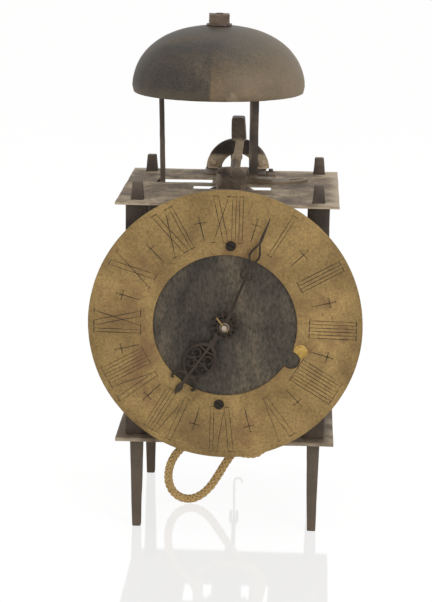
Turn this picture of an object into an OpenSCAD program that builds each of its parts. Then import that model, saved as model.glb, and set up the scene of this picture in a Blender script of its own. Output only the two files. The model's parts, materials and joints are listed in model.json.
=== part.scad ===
// Thirty-hour lantern clock: a posted iron frame, a brass chapter ring in front and a bell above.
// Millimetres, +Z up, the dial faces -Y. The origin is on the table, midway between the plate edges.
// The strike train stands in the front half of the frame and the going train in the rear half.

/* [Frame] */
// Width of the two plates, left to right
plate_w = 150; // [144:1:156]
// Depth of the two plates, front to back
plate_d = 144; // [142:1:147]
// Thickness of the bottom plate
plate_t = 2.5; // [2:0.1:3]
// Thickness of the top plate
top_t = 1.6; // [1.4:0.1:2]
// Free height between the plates
post_h = 162.9; // [159:0.1:168]
// Height of the legs under the bottom plate
leg_h = 66; // [60:1:72]
// Width of a post between the plates
post_w = 15; // [12:0.5:16]
// Depth of a post between the plates
post_d = 12; // [10:0.5:14]
// Width of a leg where it passes the bottom plate
leg_w = 9; // [7:0.5:10]
// Width of a leg at the table
foot_w = 6; // [4:0.5:7]
// Width of a tenon where it passes the top plate
tenon_w = 8.6; // [7:0.2:10]
// Width of a tenon at its tip
tenon_tip = 6.5; // [4:0.5:7]
// Height of a tenon above the top plate
tenon_h = 12; // [8:0.5:16]
// Post centre to the side edge of the plates
post_side = 13.7; // [12:0.1:14.5]
// Front post centre to the front edge of the plates
post_front = 15.4; // [14:0.1:16]
// Rear post centre to the rear edge of the plates
post_rear = 10.1; // [9:0.1:12]

/* [Bell] */
// Radius of the bell at its mouth
bell_r = 60.8; // [56:0.2:64]
// Height of the bell from mouth to crown
bell_h = 46; // [44:0.5:50]
// Wall of the bell
bell_wall = 2.6; // [2:0.1:3.2]
// Mouth of the bell above the top plate
bell_lift = 65; // [63:1:70]

/* [Dial] */
// Outer radius of the chapter ring
ring_r = 92.5; // [86:0.5:96]
// Inner radius of the chapter ring
ring_in = 48.6; // [45:0.2:50.5]
// Thickness of the chapter ring
ring_t = 1.7; // [1.2:0.1:2]
// Radius of the iron plate that closes the middle of the dial
centre_r = 60; // [58:0.5:66]
// Thickness of that plate
centre_t = 1.2; // [1:0.1:1.4]
// Turn of the dial on its two screws, clockwise
dial_turn = 3.4; // [0:0.2:5]
// Time shown by the minute hand, in minutes
minutes = 3; // [0:1:59]
// Length of the minute hand from the centre
minute_len = 80; // [70:1:88]
// Length of the hour hand from the centre
hour_len = 58; // [50:1:62]

/* [Trains] */
// Centre of the dial under the top of the top plate
centre_drop = 81.4; // [81:0.1:82]
// Pallet arbor above the top of the top plate
pallet_rise = 9; // [8.6:0.1:9.4]
// Teeth of both great wheels
great_teeth = 64; // [64:8:64]
// Tooth module of both great wheels
great_mod = 1.1; // [1.09:0.01:1.11]
// Thickness of the wheels
wheel_t = 2.2; // [1.8:0.1:2.4]
// Escape wheel radius at its tips
escape_r = 21.8; // [21:0.2:22]
// Running clearance of a pivot in its hole, on the radius
run_gap = 0.05; // [0.02:0.01:0.08]
// Clearance of a fixed piece on its seat
seat_gap = 0.02; // [0.01:0.01:0.04]

/* [Rope] */
// Diameter of the rope
rope_d = 6; // [5:0.2:6.4]
// Rope centre from the axis of its pulley
rope_r = 20; // [19.5:0.1:20.5]

/* [Hidden] */
$fn = 48;

// Heights of the frame
z_floor = leg_h + plate_t;
z_ceil = z_floor + post_h;
z_top = z_ceil + top_t;
centre_z = z_top - centre_drop;
pallet_z = z_top + pallet_rise;

// Places of the posts
post_x = plate_w / 2 - post_side;
front_post_y = post_front - plate_d / 2;
rear_post_y = plate_d / 2 - post_rear;

// The three movement bars, each from its front face
bar_w = 18;
front_bar_t = 3.5;
front_bar_y = 6 - plate_d / 2;
front_bar_back = front_bar_y + front_bar_t;
middle_bar_t = 4;
middle_bar_y = -12;
middle_bar_back = middle_bar_y + middle_bar_t;
back_bar_t = 3.5;
back_bar_y = plate_d / 2 - 12;
back_bar_back = back_bar_y + back_bar_t;
pivot_r = 1.5;
pivot_hole = pivot_r + run_gap;

// Teeth
leaves = 8;
centre_teeth = 60;
centre_mod = 1;
third_teeth = 56;
third_mod = 0.9;
escape_leaves = 7;
escape_teeth = 30;
hoop_teeth = 56;
hoop_mod = 0.9;
fly_leaves = 7;
warning_teeth = 48;
warning_mod = 0.8;
count_teeth = 78;
motion_mod = 0.8;
cannon_teeth = 15;
minute_teeth = 45;
minute_leaves = 12;
hour_teeth = 48;

// Distances between arbors that mesh
function apart(a, b, m) = (a + b) * m / 2;
great_gap = apart(great_teeth, leaves, great_mod);
centre_gap = apart(centre_teeth, leaves, centre_mod);
third_gap = apart(third_teeth, escape_leaves, third_mod);
hoop_gap = apart(hoop_teeth, fly_leaves, hoop_mod);
warning_gap = apart(warning_teeth, fly_leaves, warning_mod);
motion_gap = apart(cannon_teeth, minute_teeth, motion_mod);
count_mod = 2 * great_gap / (count_teeth + leaves);

// Axes as [x, z]; directions are counted from +X towards +Z, as seen from the front
function polar(from, len, dir) = [from[0] + len * cos(dir), from[1] + len * sin(dir)];
centre = [0, centre_z];
great = [0, centre_z - great_gap];
escape = [0, pallet_z - 31];
escape_rise = escape[1] - centre_z;
third_dir = 90 - acos((centre_gap ^ 2 + escape_rise ^ 2 - third_gap ^ 2) / (2 * centre_gap * escape_rise));
third = polar(centre, centre_gap, third_dir);
third_to_escape = atan2(escape[1] - third[1], escape[0] - third[0]);
hoop_dir = 28;
hoop = polar(great, great_gap, hoop_dir);
warning_dir = 80;
warning = polar(hoop, hoop_gap, warning_dir);
fly_dir = 95;
fly_axis = polar(warning, warning_gap, fly_dir);
minute_dir = 210;
minute_axis = polar(centre, motion_gap, minute_dir);
detent = [51, centre_z + 41.4];
lifter = [-42, centre_z + 16.4];
hammer_axis = [-49.5, great[1] + 6];
pallet = [0, pallet_z];

// Phases of the teeth, so that every pair is in mesh
function mesh(turn, n, n_mate, dir) = dir + 180 - 180 / n_mate + (dir - turn) * n / n_mate;
centre_leaf_turn = mesh(0, great_teeth, leaves, 90);
third_leaf_turn = mesh(0, centre_teeth, leaves, third_dir);
escape_leaf_turn = mesh(0, third_teeth, escape_leaves, third_to_escape);
hoop_leaf_turn = mesh(0, great_teeth, leaves, hoop_dir);
warning_leaf_turn = mesh(0, hoop_teeth, fly_leaves, warning_dir);
fly_leaf_turn = mesh(0, warning_teeth, fly_leaves, fly_dir);
report_turn = 0;
count_turn = mesh(report_turn, leaves, count_teeth, 90);
minute_wheel_turn = mesh(0, cannon_teeth, minute_teeth, minute_dir);
minute_leaf_turn = 0;
hour_wheel_turn = mesh(minute_leaf_turn, minute_leaves, hour_teeth, minute_dir - 180);

// Planes of the strike train, from the front bar to the middle bar
count_gear_y = front_bar_back + 0.4;
count_gear_t = 1.8;
count_disc_y = count_gear_y + count_gear_t;
count_disc_t = 1.6;
lift_arm_y = count_disc_y + count_disc_t + 0.4;
lift_arm_t = 1.8;
warning_y = front_post_y + post_d / 2 + 1.1;
hoop_y = warning_y + 4.5;
band_y = hoop_y + wheel_t;
band_w = 3;
strike_great_y = band_y + band_w + 2.2;
strike_pulley_y = -25;
ratchet_y = strike_great_y + wheel_t + 0.8;
ratchet_t = 2;
hammer_pin_len = 4.5;

// Planes of the going train, from the middle bar to the back bar
escape_y = middle_bar_back + 1.5;
going_pulley_y = 1;
pulley_half = 7;
going_great_y = going_pulley_y + pulley_half + 2;
centre_wheel_y = going_great_y + 8;
third_y = centre_wheel_y + 8;

// Dial and hands, from the back forwards
ring_face_y = -plate_d / 2 - 8.3;
ring_back_y = ring_face_y + ring_t;
centre_back_y = ring_back_y + centre_t;
screw_r = 55;
hour_y = ring_face_y - 2.3;
hand_t = 1.2;
minute_y = hour_y - 2.2;
arbor_tip_y = minute_y - 2.7;
cannon_y = front_bar_y - 6;
minute_wheel_y = front_bar_y - 5.3;
hour_wheel_y = front_bar_y - 9.3;
motion_t = 1.8;
arbor_r = 2.2;
cannon_r = 3.2;
pipe_r = 4.8;
boss_r = 5;

// Bell
bell_x = -11;
bell_y = 16;
bell_power = 2.4;
mouth_z = z_top + bell_lift;
crown_z = mouth_z + bell_h;
stand_x = 14.4;
stand_y = 20;
stand_side = 5.8;
stand_foot_t = 3.4;
leaf_t = 1.8;
stud_r = 2.6;

// Hoop, cock and pendulum
strap_t = 2;
strap_z = z_top + strap_t;
hoop_x = 1.3;
hoop_out = 23.3;
hoop_inner = 12;
hoop_drop = 1.3;
hoop_t = 2.5;
hoop_front_y = plate_d / 2 - 3.5;
cock_y = 54;
cock_t = 5;
pend_x = 2;
pend_y = plate_d / 2 + 8;
pend_z = z_top + 32.7;
cock_head_low = z_top + 24.4;
cock_head_h = 16.6;
pend_pin_r = 1.2;
fork_z = 40;

// Rivets, and the foot of the bell stand
rivet_r = 1.6;
rivet_head_r = 2.8;
rivet_head_h = 1;
stand_rivet = [stand_x + 20, stand_y + 0.6];
nut_place = [26.4, 45.2];
rivet_places = [[-7.5, 64], [8.5, 64], nut_place, stand_rivet];

// Strike levers
count_r = 31;
notch_depth = 3;
stroke = 360 / count_teeth;
band_r = 22;
pin_circle = 30;
pin_r = 1.5;
warning_circle = 12;
warning_pin_r = 1;
arm_w = 4;
peg = [-10, detent[1] - 3];
nose_gap = 0.3;

// Rope route: the front bight, from the left hole to the right one, and the short rear bight
front_route = [
    [-20, -25, 66], [-20.6, -25, 60], [-24, -24.4, 54], [-30, -23.2, 48.6], [-35.6, -21.6, 42.6],
    [-39.6, -19.6, 35], [-41.8, -17.6, 26.6], [-41.6, -15, 18], [-38.6, -12.2, 10], [-32.6, -9.6, 4.8],
    [-25.4, -7.4, 3.6], [-18.4, -5.6, 6.4], [-12.4, -4, 12], [-7.6, -2.6, 19], [-3.2, -1.2, 26.4],
    [1.6, -0.2, 34], [7, 0.4, 41.6], [13, 0.8, 49], [18, 1, 56], [19.7, 1, 61], [20, 1, 66]
];
rear_route = [
    [25, -25, 66], [26.3, -25, 60], [27.2, -24.8, 54], [25.6, -24, 48.2], [20.6, -22.2, 44],
    [13.6, -19.2, 42.6], [6, -15.6, 43], [-1.6, -11.4, 44.6], [-8.6, -7, 47.6], [-14.4, -3, 51.8],
    [-18.4, -0.4, 57], [-19.8, 0.8, 61.6], [-20, 1, 66]
];
hole_in = 10.5;
hole_out = 31;
hole_front = -31;
hole_back = 7;

// Solids are drawn in the X-Z plane and given a thickness along Y
module slab(y, t) translate([0, y + t, 0]) rotate([90, 0, 0]) linear_extrude(t) children();
module on(axis) translate([axis[0], 0, axis[1]]) children();
module rod(y0, y1, r) translate([0, y0, 0]) rotate([-90, 0, 0]) cylinder(h = y1 - y0, r = r);
module square_rod(y0, y1, side) translate([-side / 2, y0, -side / 2]) cube([side, y1 - y0, side]);
module box(x0, x1, y0, y1, z0, z1) translate([x0, y0, z0]) cube([x1 - x0, y1 - y0, z1 - z0]);
module bar2d(x0, x1, z0, z1) translate([x0, z0]) square([x1 - x0, z1 - z0]);
module spot(axis, r) translate(axis) circle(r = r);

// A flat arm of even width along a chain of points, with round ends drawn in short flats
function capsule(a, b, r) = let (d = atan2(b[1] - a[1], b[0] - a[0])) [
    for (i = [0:6]) a + r * [cos(d + 90 + 30 * i), sin(d + 90 + 30 * i)],
    for (i = [0:6]) b + r * [cos(d - 90 + 30 * i), sin(d - 90 + 30 * i)]
];
module chain(points, w) for (i = [0:len(points) - 2]) polygon(capsule(points[i], points[i + 1], w / 2));

// A square bar that tapers alike on all sides, cut from two profiles
module taper(w0, w1, h) {
    intersection() {
        translate([0, w0, 0]) rotate([90, 0, 0]) linear_extrude(2 * w0) taper2d(w0, w1, h);
        rotate([0, 0, 90]) translate([0, w0, 0]) rotate([90, 0, 0]) linear_extrude(2 * w0) taper2d(w0, w1, h);
    }
}
module taper2d(w0, w1, h) polygon([[-w0 / 2, 0], [w0 / 2, 0], [w1 / 2, h], [-w1 / 2, h]]);

// Cycloidal teeth: radial flanks under the pitch circle and an epicycloid above it, rolled by a circle
// of radius q, which is half the pitch radius of the mating wheel
function epi(r, q, f) =
    let (k = (r + q) / q, x = (r + q) * cos(f) - q * cos(k * f), y = (r + q) * sin(f) - q * sin(k * f))
    [norm([x, y]), atan2(y, x)];
function roll(r, q, top) = q / r * acos(((r + q) ^ 2 + q ^ 2 - top ^ 2) / (2 * (r + q) * q));
function half_tooth(n, m, q, width, head, root) =
    let (r = n * m / 2, half = 90 / n * width, f = roll(r, q, r + head * m))
    [[r - root * m, half], [r, half], for (s = [0.6, 1]) let (e = epi(r, q, f * s)) [e[0], half - e[1]]];
function toothed(n, turn, h) = [
    for (i = [0:n - 1], side = [-1, 1], j = [0:3])
        let (p = h[side < 0 ? j : 3 - j], a = turn + 360 * i / n + side * p[1]) p[0] * [cos(a), sin(a)]
];
wheel_head = 1;
wheel_root = 1;
module wheel2d(n, m, mate, turn) polygon(toothed(n, turn, half_tooth(n, m, mate * m / 4, 0.84, wheel_head, wheel_root)));
module pinion2d(n, m, mate, turn) polygon(toothed(n, turn, half_tooth(n, m, mate * m / 4, 0.78, 0.5, 1.45)));
function tip_r(n, m) = (n / 2 + wheel_head) * m;

// The spaces between the arms of a wheel
function window(hub, out, half_arm, span) = [
    for (s = [0:7]) let (g = asin(half_arm / out), a = g + (span - 2 * g) * s / 7) out * [cos(a), sin(a)],
    for (s = [7:-1:0]) let (g = asin(half_arm / hub), a = g + (span - 2 * g) * s / 7) hub * [cos(a), sin(a)]
];
module windows(hub, out, arms) for (i = [0:arms - 1]) rotate(i * 360 / arms) polygon(window(hub, out, 2.2, 360 / arms));
module crossed(n, m, mate, turn, bore, hub = 8, rim = 3.4, arms = 4) {
    difference() {
        wheel2d(n, m, mate, turn);
        windows(hub, n * m / 2 - wheel_root * m - rim, arms);
        square(bore + 2 * seat_gap, center = true);
    }
}

// An arbor along Y: a square middle, a pivot at each end, and a pinion on it
module arbor(y0, y1, pivot0, pivot1, side) {
    square_rod(y0, y1, side);
    rod(pivot0, y0, pivot_r);
    rod(y1, pivot1, pivot_r);
}
arbor_gap = 0.3;
front_end = front_bar_back + arbor_gap;
mid_front = middle_bar_y - arbor_gap;
mid_back = middle_bar_back + arbor_gap;
back_end = back_bar_y - arbor_gap;

// Frame

module plate_holes(w) {
    for (x = [-post_x, post_x], y = [front_post_y, rear_post_y])
        translate([x, y]) square(w + 2 * seat_gap, center = true);
}

slot1 = [-54.5, -14.6, 12.6, 33.5];
slot2 = [-26.9, 27.7, middle_bar_y - 0.8, 6];
bar_tenon = 8;
module tenon_slot(y, t) translate([0, y + t / 2]) square([bar_tenon + 2 * seat_gap, t + 2 * seat_gap], center = true);

module top_plate() {
    color("#8a8478")
    translate([0, 0, z_ceil]) linear_extrude(top_t) difference() {
        square([plate_w, plate_d], center = true);
        plate_holes(tenon_w);
        for (s = [slot1, slot2]) translate([s[0], s[2]]) square([s[1] - s[0], s[3] - s[2]]);
        tenon_slot(front_bar_y, front_bar_t);
        tenon_slot(back_bar_y, back_bar_t);
        for (p = rivet_places) translate(p) circle(r = rivet_r + seat_gap);
    }
}

module bottom_plate() {
    color("#6f675b")
    translate([0, 0, leg_h]) linear_extrude(plate_t) difference() {
        square([plate_w, plate_d], center = true);
        plate_holes(leg_w);
        for (side = [-1, 1]) translate([side * (hole_in + hole_out) / 2, (hole_front + hole_back) / 2])
            square([hole_out - hole_in, hole_back - hole_front], center = true);
        tenon_slot(front_bar_y, front_bar_t);
        tenon_slot(middle_bar_y, middle_bar_t);
        tenon_slot(back_bar_y, back_bar_t);
        translate([spring_x, spring_y]) circle(r = rivet_r + seat_gap);
    }
}

module post() {
    color("#2e2723") {
        translate([-post_w / 2, -post_d / 2, z_floor]) cube([post_w, post_d, post_h]);
        translate([0, 0, z_ceil + top_t / 2]) cube([tenon_w, tenon_w, top_t], center = true);
        translate([0, 0, z_top]) taper(tenon_w, tenon_tip, tenon_h);
        translate([0, 0, leg_h + plate_t / 2]) cube([leg_w, leg_w, plate_t], center = true);
        translate([0, 0, leg_h]) mirror([0, 0, 1]) taper(leg_w, foot_w, leg_h);
    }
}
module post_front_left() translate([-post_x, front_post_y, 0]) post();
module post_front_right() translate([post_x, front_post_y, 0]) post();
module post_rear_left() translate([-post_x, rear_post_y, 0]) post();
module post_rear_right() translate([post_x, rear_post_y, 0]) post();

// The arms that carry the strike pivots, alike on the front bar and the middle bar
module cross_arms() {
    bar2d(-bar_w / 2, bar_w / 2, z_floor, z_ceil);
    bar2d(hammer_axis[0] - 4, 0, hammer_axis[1] - 5, hammer_axis[1] + 5);
    bar2d(0, hoop[0] + 6, hoop[1] - 5, hoop[1] + 5);
    bar2d(0, warning[0] + 5.5, warning[1] - 5, warning[1] + 5);
    bar2d(0, detent[0] + 2.5, fly_axis[1] - 4.5, detent[1] + 4.5);
    bar2d(lifter[0] - 6, 0, lifter[1] - 5, lifter[1] + 5);
}
module strike_pivots() {
    for (p = [great, hoop, warning, fly_axis, detent]) spot(p, pivot_hole);
    spot(lifter, lifter_r + run_gap);
    spot(hammer_axis, hammer_r + run_gap);
}
// A bar's lower tenon passes the bottom plate and is held by a wedge under it
tenon_down = 6;
wedge_z = leg_h - 1.9;
wedge_h = 3;
module foot_tenon() difference() {
    bar2d(-bar_tenon / 2, bar_tenon / 2, leg_h - tenon_down, z_floor);
    bar2d(-wedge_w / 2, wedge_w / 2, wedge_z - wedge_h / 2 - seat_gap, leg_h);
}
wedge_w = 3;
module head_tenon() bar2d(-bar_tenon / 2, bar_tenon / 2, z_ceil, z_top);

module front_bar() {
    color("#3a332c") {
        difference() {
            slab(front_bar_y, front_bar_t) difference() {
                union() {
                    cross_arms();
                    foot_tenon();
                    head_tenon();
                    bar2d(minute_axis[0] - 4.5, 0, minute_axis[1] - 4.5, minute_axis[1] + 4.5);
                }
                strike_pivots();
                for (s = [0, 180]) spot(polar(centre, screw_r, 90 - dial_turn + s), 2 + seat_gap);
            }
            on(centre) rod(front_bar_y - 1, front_bar_back + 1, arbor_r + 0.3);
        }
        difference() {
            on(centre) rod(front_bar_back, count_disc_y + count_disc_t + 0.2, boss_r);
            on(centre) rod(front_bar_back - 1, count_disc_y + count_disc_t + 1, arbor_r + 0.3);
        }
        on(minute_axis) rod(hour_wheel_y - 0.4, front_bar_y, 2);
    }
}

head_w = 20.5;
head_top = z_top + 15;
module middle_bar() {
    color("#4a4038")
    slab(middle_bar_y, middle_bar_t) difference() {
        union() {
            cross_arms();
            foot_tenon();
            bar2d(-34, 34, z_ceil - 7, z_ceil);
            spot(third, 5);
            polygon([
                [-head_w / 2, z_ceil - 2], [head_w / 2, z_ceil - 2], [head_w / 2, head_top - 3],
                [head_w / 2 - 2.5, head_top - 1], [head_w / 2 - 6, head_top], [-head_w / 2 + 3.5, head_top],
                [-head_w / 2 + 1, head_top - 1], [-head_w / 2, head_top - 3.5]
            ]);
        }
        strike_pivots();
        for (p = [third, escape, pallet]) spot(p, pivot_hole);
        spot(centre, arbor_r + run_gap);
    }
}

module back_bar() {
    color("#3a332c")
    slab(back_bar_y, back_bar_t) difference() {
        union() {
            bar2d(-bar_w / 2, bar_w / 2, z_floor, z_ceil);
            foot_tenon();
            head_tenon();
            spot(third, 6);
        }
        for (p = [great, centre, third, escape]) spot(p, pivot_hole);
    }
}

// Rivets of the hoop strap and the bell stand, a square nut on the strap, and the wedges of the bars
module rivet(place, seat_z) translate([place[0], place[1], 0]) {
    translate([0, 0, z_ceil]) cylinder(h = seat_z - z_ceil, r = rivet_r);
    translate([0, 0, seat_z]) cylinder(h = rivet_head_h, r = rivet_head_r);
}
module frame_fixings() {
    color("#33291f") {
        for (i = [0, 1]) rivet(rivet_places[i], strap_z);
        translate([nut_place[0], nut_place[1], 0]) {
            translate([0, 0, z_ceil]) cylinder(h = top_t + 5.6, r = rivet_r);
            rotate([0, 0, 12]) translate([-2.9, -2.9, z_top]) cube([5.8, 5.8, 3.6]);
        }
        translate([stand_rivet[0], stand_rivet[1], z_ceil]) cylinder(h = top_t + leaf_t, r = rivet_r);
        for (bar = [[front_bar_y, front_bar_t], [middle_bar_y, middle_bar_t], [back_bar_y, back_bar_t]])
            translate([0, bar[0] + bar[1] / 2, 0]) wedge(bar[1]);
    }
}
// A wedge is driven through the tenon along Y and bears on the plate
module wedge(t) {
    difference() {
        translate([-wedge_w / 2 + seat_gap, -9, leg_h - wedge_h - seat_gap])
            cube([wedge_w - 2 * seat_gap, 18, wedge_h]);
        translate([-wedge_w, 0, leg_h - wedge_h - 1]) rotate([4, 0, 0]) translate([0, -12, -1.4])
            cube([2 * wedge_w, 24, 2]);
    }
}

// Hoop to hang the clock on a wall, standing on a strap
module hoop_strap() {
    color("#2b2622")
    translate([0, 0, z_top]) linear_extrude(strap_t) difference() {
        translate([hoop_x - 23.5, 45]) square([44.6, plate_d / 2 - 1 - 45]);
        for (i = [0, 1]) translate(rivet_places[i]) circle(r = rivet_r + seat_gap);
    }
}

module hanging_hoop() {
    color("#4b4036") {
        slab(hoop_front_y, hoop_t) translate([hoop_x, strap_z - hoop_drop]) difference() {
            circle(r = hoop_out);
            circle(r = hoop_inner);
            translate([-40, hoop_drop - 80]) square([80, 80]);
        }
        for (side = [-1, 1]) translate([hoop_x + side * (hoop_out + hoop_inner) / 2, 0, 0]) {
            box(-4, 4, hoop_front_y - 6, hoop_front_y, strap_z, strap_z + 1.2);
            translate([0, 0, strap_z + 3.8]) rod(hoop_front_y - 1.4, hoop_front_y, 2.2);
        }
    }
}

// Bell stand: a square bar that rises behind the bell's centre line, cranks inwards and ends in a stud
crank_len = norm([bell_x - stand_x, bell_y - stand_y]);
crank_dir = atan2(bell_y - stand_y, bell_x - stand_x);
crank_r = 8;
crank_z = crown_z - 20.5;
module stand_bar(h) translate([-stand_side / 2, -stand_side / 2, 0]) cube([stand_side, stand_side, h]);
module crank(turn) rotate([90, 0, 0]) rotate(turn) rotate_extrude(angle = 90)
    translate([crank_r - stand_side / 2, -stand_side / 2]) square(stand_side);
module bell_stand() {
    color("#3b3029") {
        translate([stand_x, stand_y, 0]) rotate([0, 0, crank_dir]) {
            translate([0, 0, z_top]) stand_bar(crank_z - crank_r - z_top);
            translate([crank_r, 0, crank_z - crank_r]) crank(90);
            translate([crank_r, -stand_side / 2, crank_z - stand_side / 2])
                cube([crank_len - 2 * crank_r, stand_side, stand_side]);
            translate([crank_len - crank_r, 0, crank_z + crank_r]) crank(270);
            translate([crank_len, 0, crank_z + crank_r]) {
                stand_bar(bell_inner_top - crank_z - crank_r - 0.2);
                cylinder(h = crown_z + 8.5 - crank_z - crank_r, r = stud_r);
            }
        }
        translate([stand_x, stand_y, z_top]) {
            linear_extrude(stand_foot_t) polygon([
                [-4.6, -4.8], [0, -5.8], [6, -7.6], [13.6, -9.6], [14.6, 4.6], [8, 4.2], [-4.6, 4]
            ]);
            difference() {
                linear_extrude(leaf_t) polygon([
                    [12, -9.2], [14, -9.5], [26.3, -5.4], [33.6, -1.6], [37.4, 2.6], [38.8, 7.2], [37.8, 11],
                    [35, 12.6], [26, 9.6], [15, 5], [12, 4.4]
                ]);
                translate([stand_rivet[0] - stand_x, stand_rivet[1] - stand_y, -1])
                    cylinder(h = leaf_t + 2, r = rivet_r + seat_gap);
                translate([0, 0, leaf_t - 0.7]) linear_extrude(2)
                    polygon([[25.4, 1], [27, -0.6], [34, 3], [36, 5.6], [35.6, 8], [33.6, 8.4], [27, 4.6], [25.4, 3]]);
            }
        }
    }
}

// Bell: a cast dome whose section is a superellipse, with a thicker lip
bell_inner_top = crown_z - bell_wall;
bell_steps = 20;
function dome(r, h) = [
    for (i = [0:bell_steps]) let (a = 90 * i / bell_steps)
        [r * cos(a) ^ (2 / bell_power), h * sin(a) ^ (2 / bell_power)]
];
module bell() {
    color("#5d544a")
    translate([bell_x, bell_y, mouth_z]) rotate_extrude($fn = 96) difference() {
        polygon(concat([[0, 0]], dome(bell_r, bell_h)));
        polygon(concat([[0, -3], [bell_r - bell_wall, -3]], dome(bell_r - bell_wall, bell_h - bell_wall)));
        translate([0, -3]) square([stud_r + 0.1, bell_h + 6]);
    }
}
module bell_washer() {
    color("#3f372d")
    translate([bell_x, bell_y, crown_z]) difference() {
        cylinder(h = 1.2, r = 9);
        translate([0, 0, -1]) cylinder(h = 4, r = stud_r + 0.1);
    }
}
module bell_nut() {
    color("#2f2822")
    translate([bell_x, bell_y, crown_z + 1.2]) rotate([0, 0, 4]) difference() {
        translate([-7, -7, 0]) cube([14, 14, 6.8]);
        translate([0, 0, -1]) cylinder(h = 10, r = stud_r + seat_gap);
    }
}

// Cock at the back: the rear bearing of the pallet arbor and the pin that the pendulum hangs on
module pendulum_cock() {
    color("#4f453b") {
        slab(cock_y, cock_t) difference() {
            union() {
                polygon([
                    [-3.6, strap_z], [3.4, strap_z], [4.4, pallet_z + 1], [6.4, cock_head_low], [6.4, cock_head_low + 1],
                    [0.4, cock_head_low + 1], [0.4, cock_head_low], [-1.2, pallet_z + 6], [-3, pallet_z + 2.6]
                ]);
                bar2d(-7, 9, strap_z, strap_z + 2.4);
            }
            spot(pallet, pivot_hole);
        }
        slab(cock_y, 14) polygon([
            [-2.9, cock_head_low], [7.6, cock_head_low], [6.4, cock_head_low + cock_head_h - 1],
            [5.4, cock_head_low + cock_head_h], [-2, cock_head_low + cock_head_h],
            [-2.9, cock_head_low + cock_head_h - 1]
        ]);
        translate([pend_x, 0, pend_z]) {
            rod(cock_y + 14, pend_y + 3, pend_pin_r);
            rod(pend_y + 3, -arbor_tip_y, 2.4);
        }
    }
}

// Dial

plug_at = polar(centre, 54, -18);
bruise_at = polar(centre, 50.5, -27);
module dial_ring() {
    color("#a88a4e")
    difference() {
        slab(ring_face_y, ring_t) difference() {
            spot(centre, ring_r);
            spot(centre, ring_in);
            spot(plug_at, 4.8 + seat_gap);
            spot(bruise_at, 6);
            for (s = [0, 180]) spot(polar(centre, screw_r, 90 - dial_turn + s), 1.5);
        }
    }
}
module dial_centre() {
    color("#3d342b")
    slab(ring_back_y, centre_t) difference() {
        spot(centre, centre_r);
        spot(centre, pipe_r + 0.5);
        for (s = [0, 180]) spot(polar(centre, screw_r, 90 - dial_turn + s), 1.5);
    }
}
module dial_pillars() {
    color("#3a332c")
    for (s = [0, 180]) on(polar(centre, screw_r, 90 - dial_turn + s)) difference() {
        union() {
            rod(centre_back_y, front_bar_y, 3.2);
            rod(front_bar_y, front_bar_back, 2);
        }
        rod(centre_back_y - 1, centre_back_y + 6, 1.4);
    }
}
module dial_screws() {
    color("#2f2922")
    for (s = [0, 180]) on(polar(centre, screw_r, 90 - dial_turn + s)) difference() {
        union() {
            rod(ring_face_y - 1, ring_face_y, 3.4);
            rod(ring_face_y, centre_back_y + 5, 1.38);
        }
        rotate([0, 30 + s, 0]) box(-4, 4, ring_face_y - 2, ring_face_y - 0.5, -0.5, 0.5);
    }
}
module dial_plug() {
    color("#c9a33d")
    slab(ring_face_y - 0.4, ring_t + 0.4) intersection() {
        spot(plug_at, 4.8);
        difference() {
            spot(plug_at, 6);
            spot(bruise_at, 6);
        }
    }
}

// Hands are drawn pointing up and turned to the time
minute_turn = -(minutes * 6 + dial_turn);
hour_turn = -((7 + minutes / 60) * 30 + dial_turn);
module hand(turn, y) slab(y, hand_t) translate(centre) rotate(turn) children();

module minute_hand() {
    color("#1f1c19")
    hand(minute_turn, minute_y) difference() {
        union() {
            circle(r = 5);
            polygon([[-1.3, 4], [1.3, 4], [1.1, 40], [-1.1, 40]]);
            for (side = [-1, 1]) chain([[0, 40], [side * 2.6, 46], [side * 3, 49], [0, 58]], 1.3);
            for (side = [-1, 1]) chain([[0, 38], [side * 3.4, 36.5], [side * 5, 39], [side * 4.2, 41]], 1.1);
            polygon([[-0.9, 57], [0.9, 57], [0.7, minute_len], [-0.7, minute_len]]);
        }
        square(hand_seat + 2 * seat_gap, center = true);
    }
}

module hour_hand() {
    color("#1f1c19")
    hand(hour_turn, hour_y) difference() {
        union() {
            circle(r = 7.6);
            for (i = [0:11]) rotate(30 * i + 15) translate([7.8, 0]) circle(r = 1.5);
            polygon([[-1.9, 6], [1.9, 6], [1.7, 20], [-1.7, 20]]);
            polygon([[0, 17], [6, 22.5], [8.6, 29], [7, 35], [3, 40], [0, 43], [-3, 40], [-7, 35], [-8.6, 29], [-6, 22.5]]);
            for (side = [-1, 1]) chain([[side * 2, 38], [side * 6, 40.5], [side * 8.4, 44], [side * 8.6, 46.5]], 1.7);
            polygon([[-1.6, 41], [1.6, 41], [1, hour_len], [-1, hour_len]]);
        }
        circle(r = hour_seat_r + seat_gap);
        for (i = [1, 2, 3, 9, 10, 11]) rotate(30 * i) translate([0, 6.3]) circle(r = 0.8);
        for (side = [-1, 1]) translate([side * 3.6, 29.5]) circle(r = 2.2);
        translate([0, 36]) circle(r = 1.6);
        translate([0, 23.5]) circle(r = 1.4);
    }
}
hour_seat_r = 4.3;
hand_seat = 4.6;
module hand_washer() {
    color("#6c5a3c")
    on(centre) difference() {
        rod(minute_y - 0.9, minute_y, 3.4);
        rod(minute_y - 2, minute_y + 1, nose_r + run_gap);
    }
}
nose_r = arbor_r - 0.4;
module hand_pin() {
    color("#8d8272")
    on(centre) hand_pin_way(0.6);
}
module hand_pin_way(r) translate([0, minute_y - 1.6, 0]) rotate([0, -129, 0]) translate([-3.4, 0, 0])
    rotate([0, 90, 0]) cylinder(h = 12, r = r);

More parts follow.
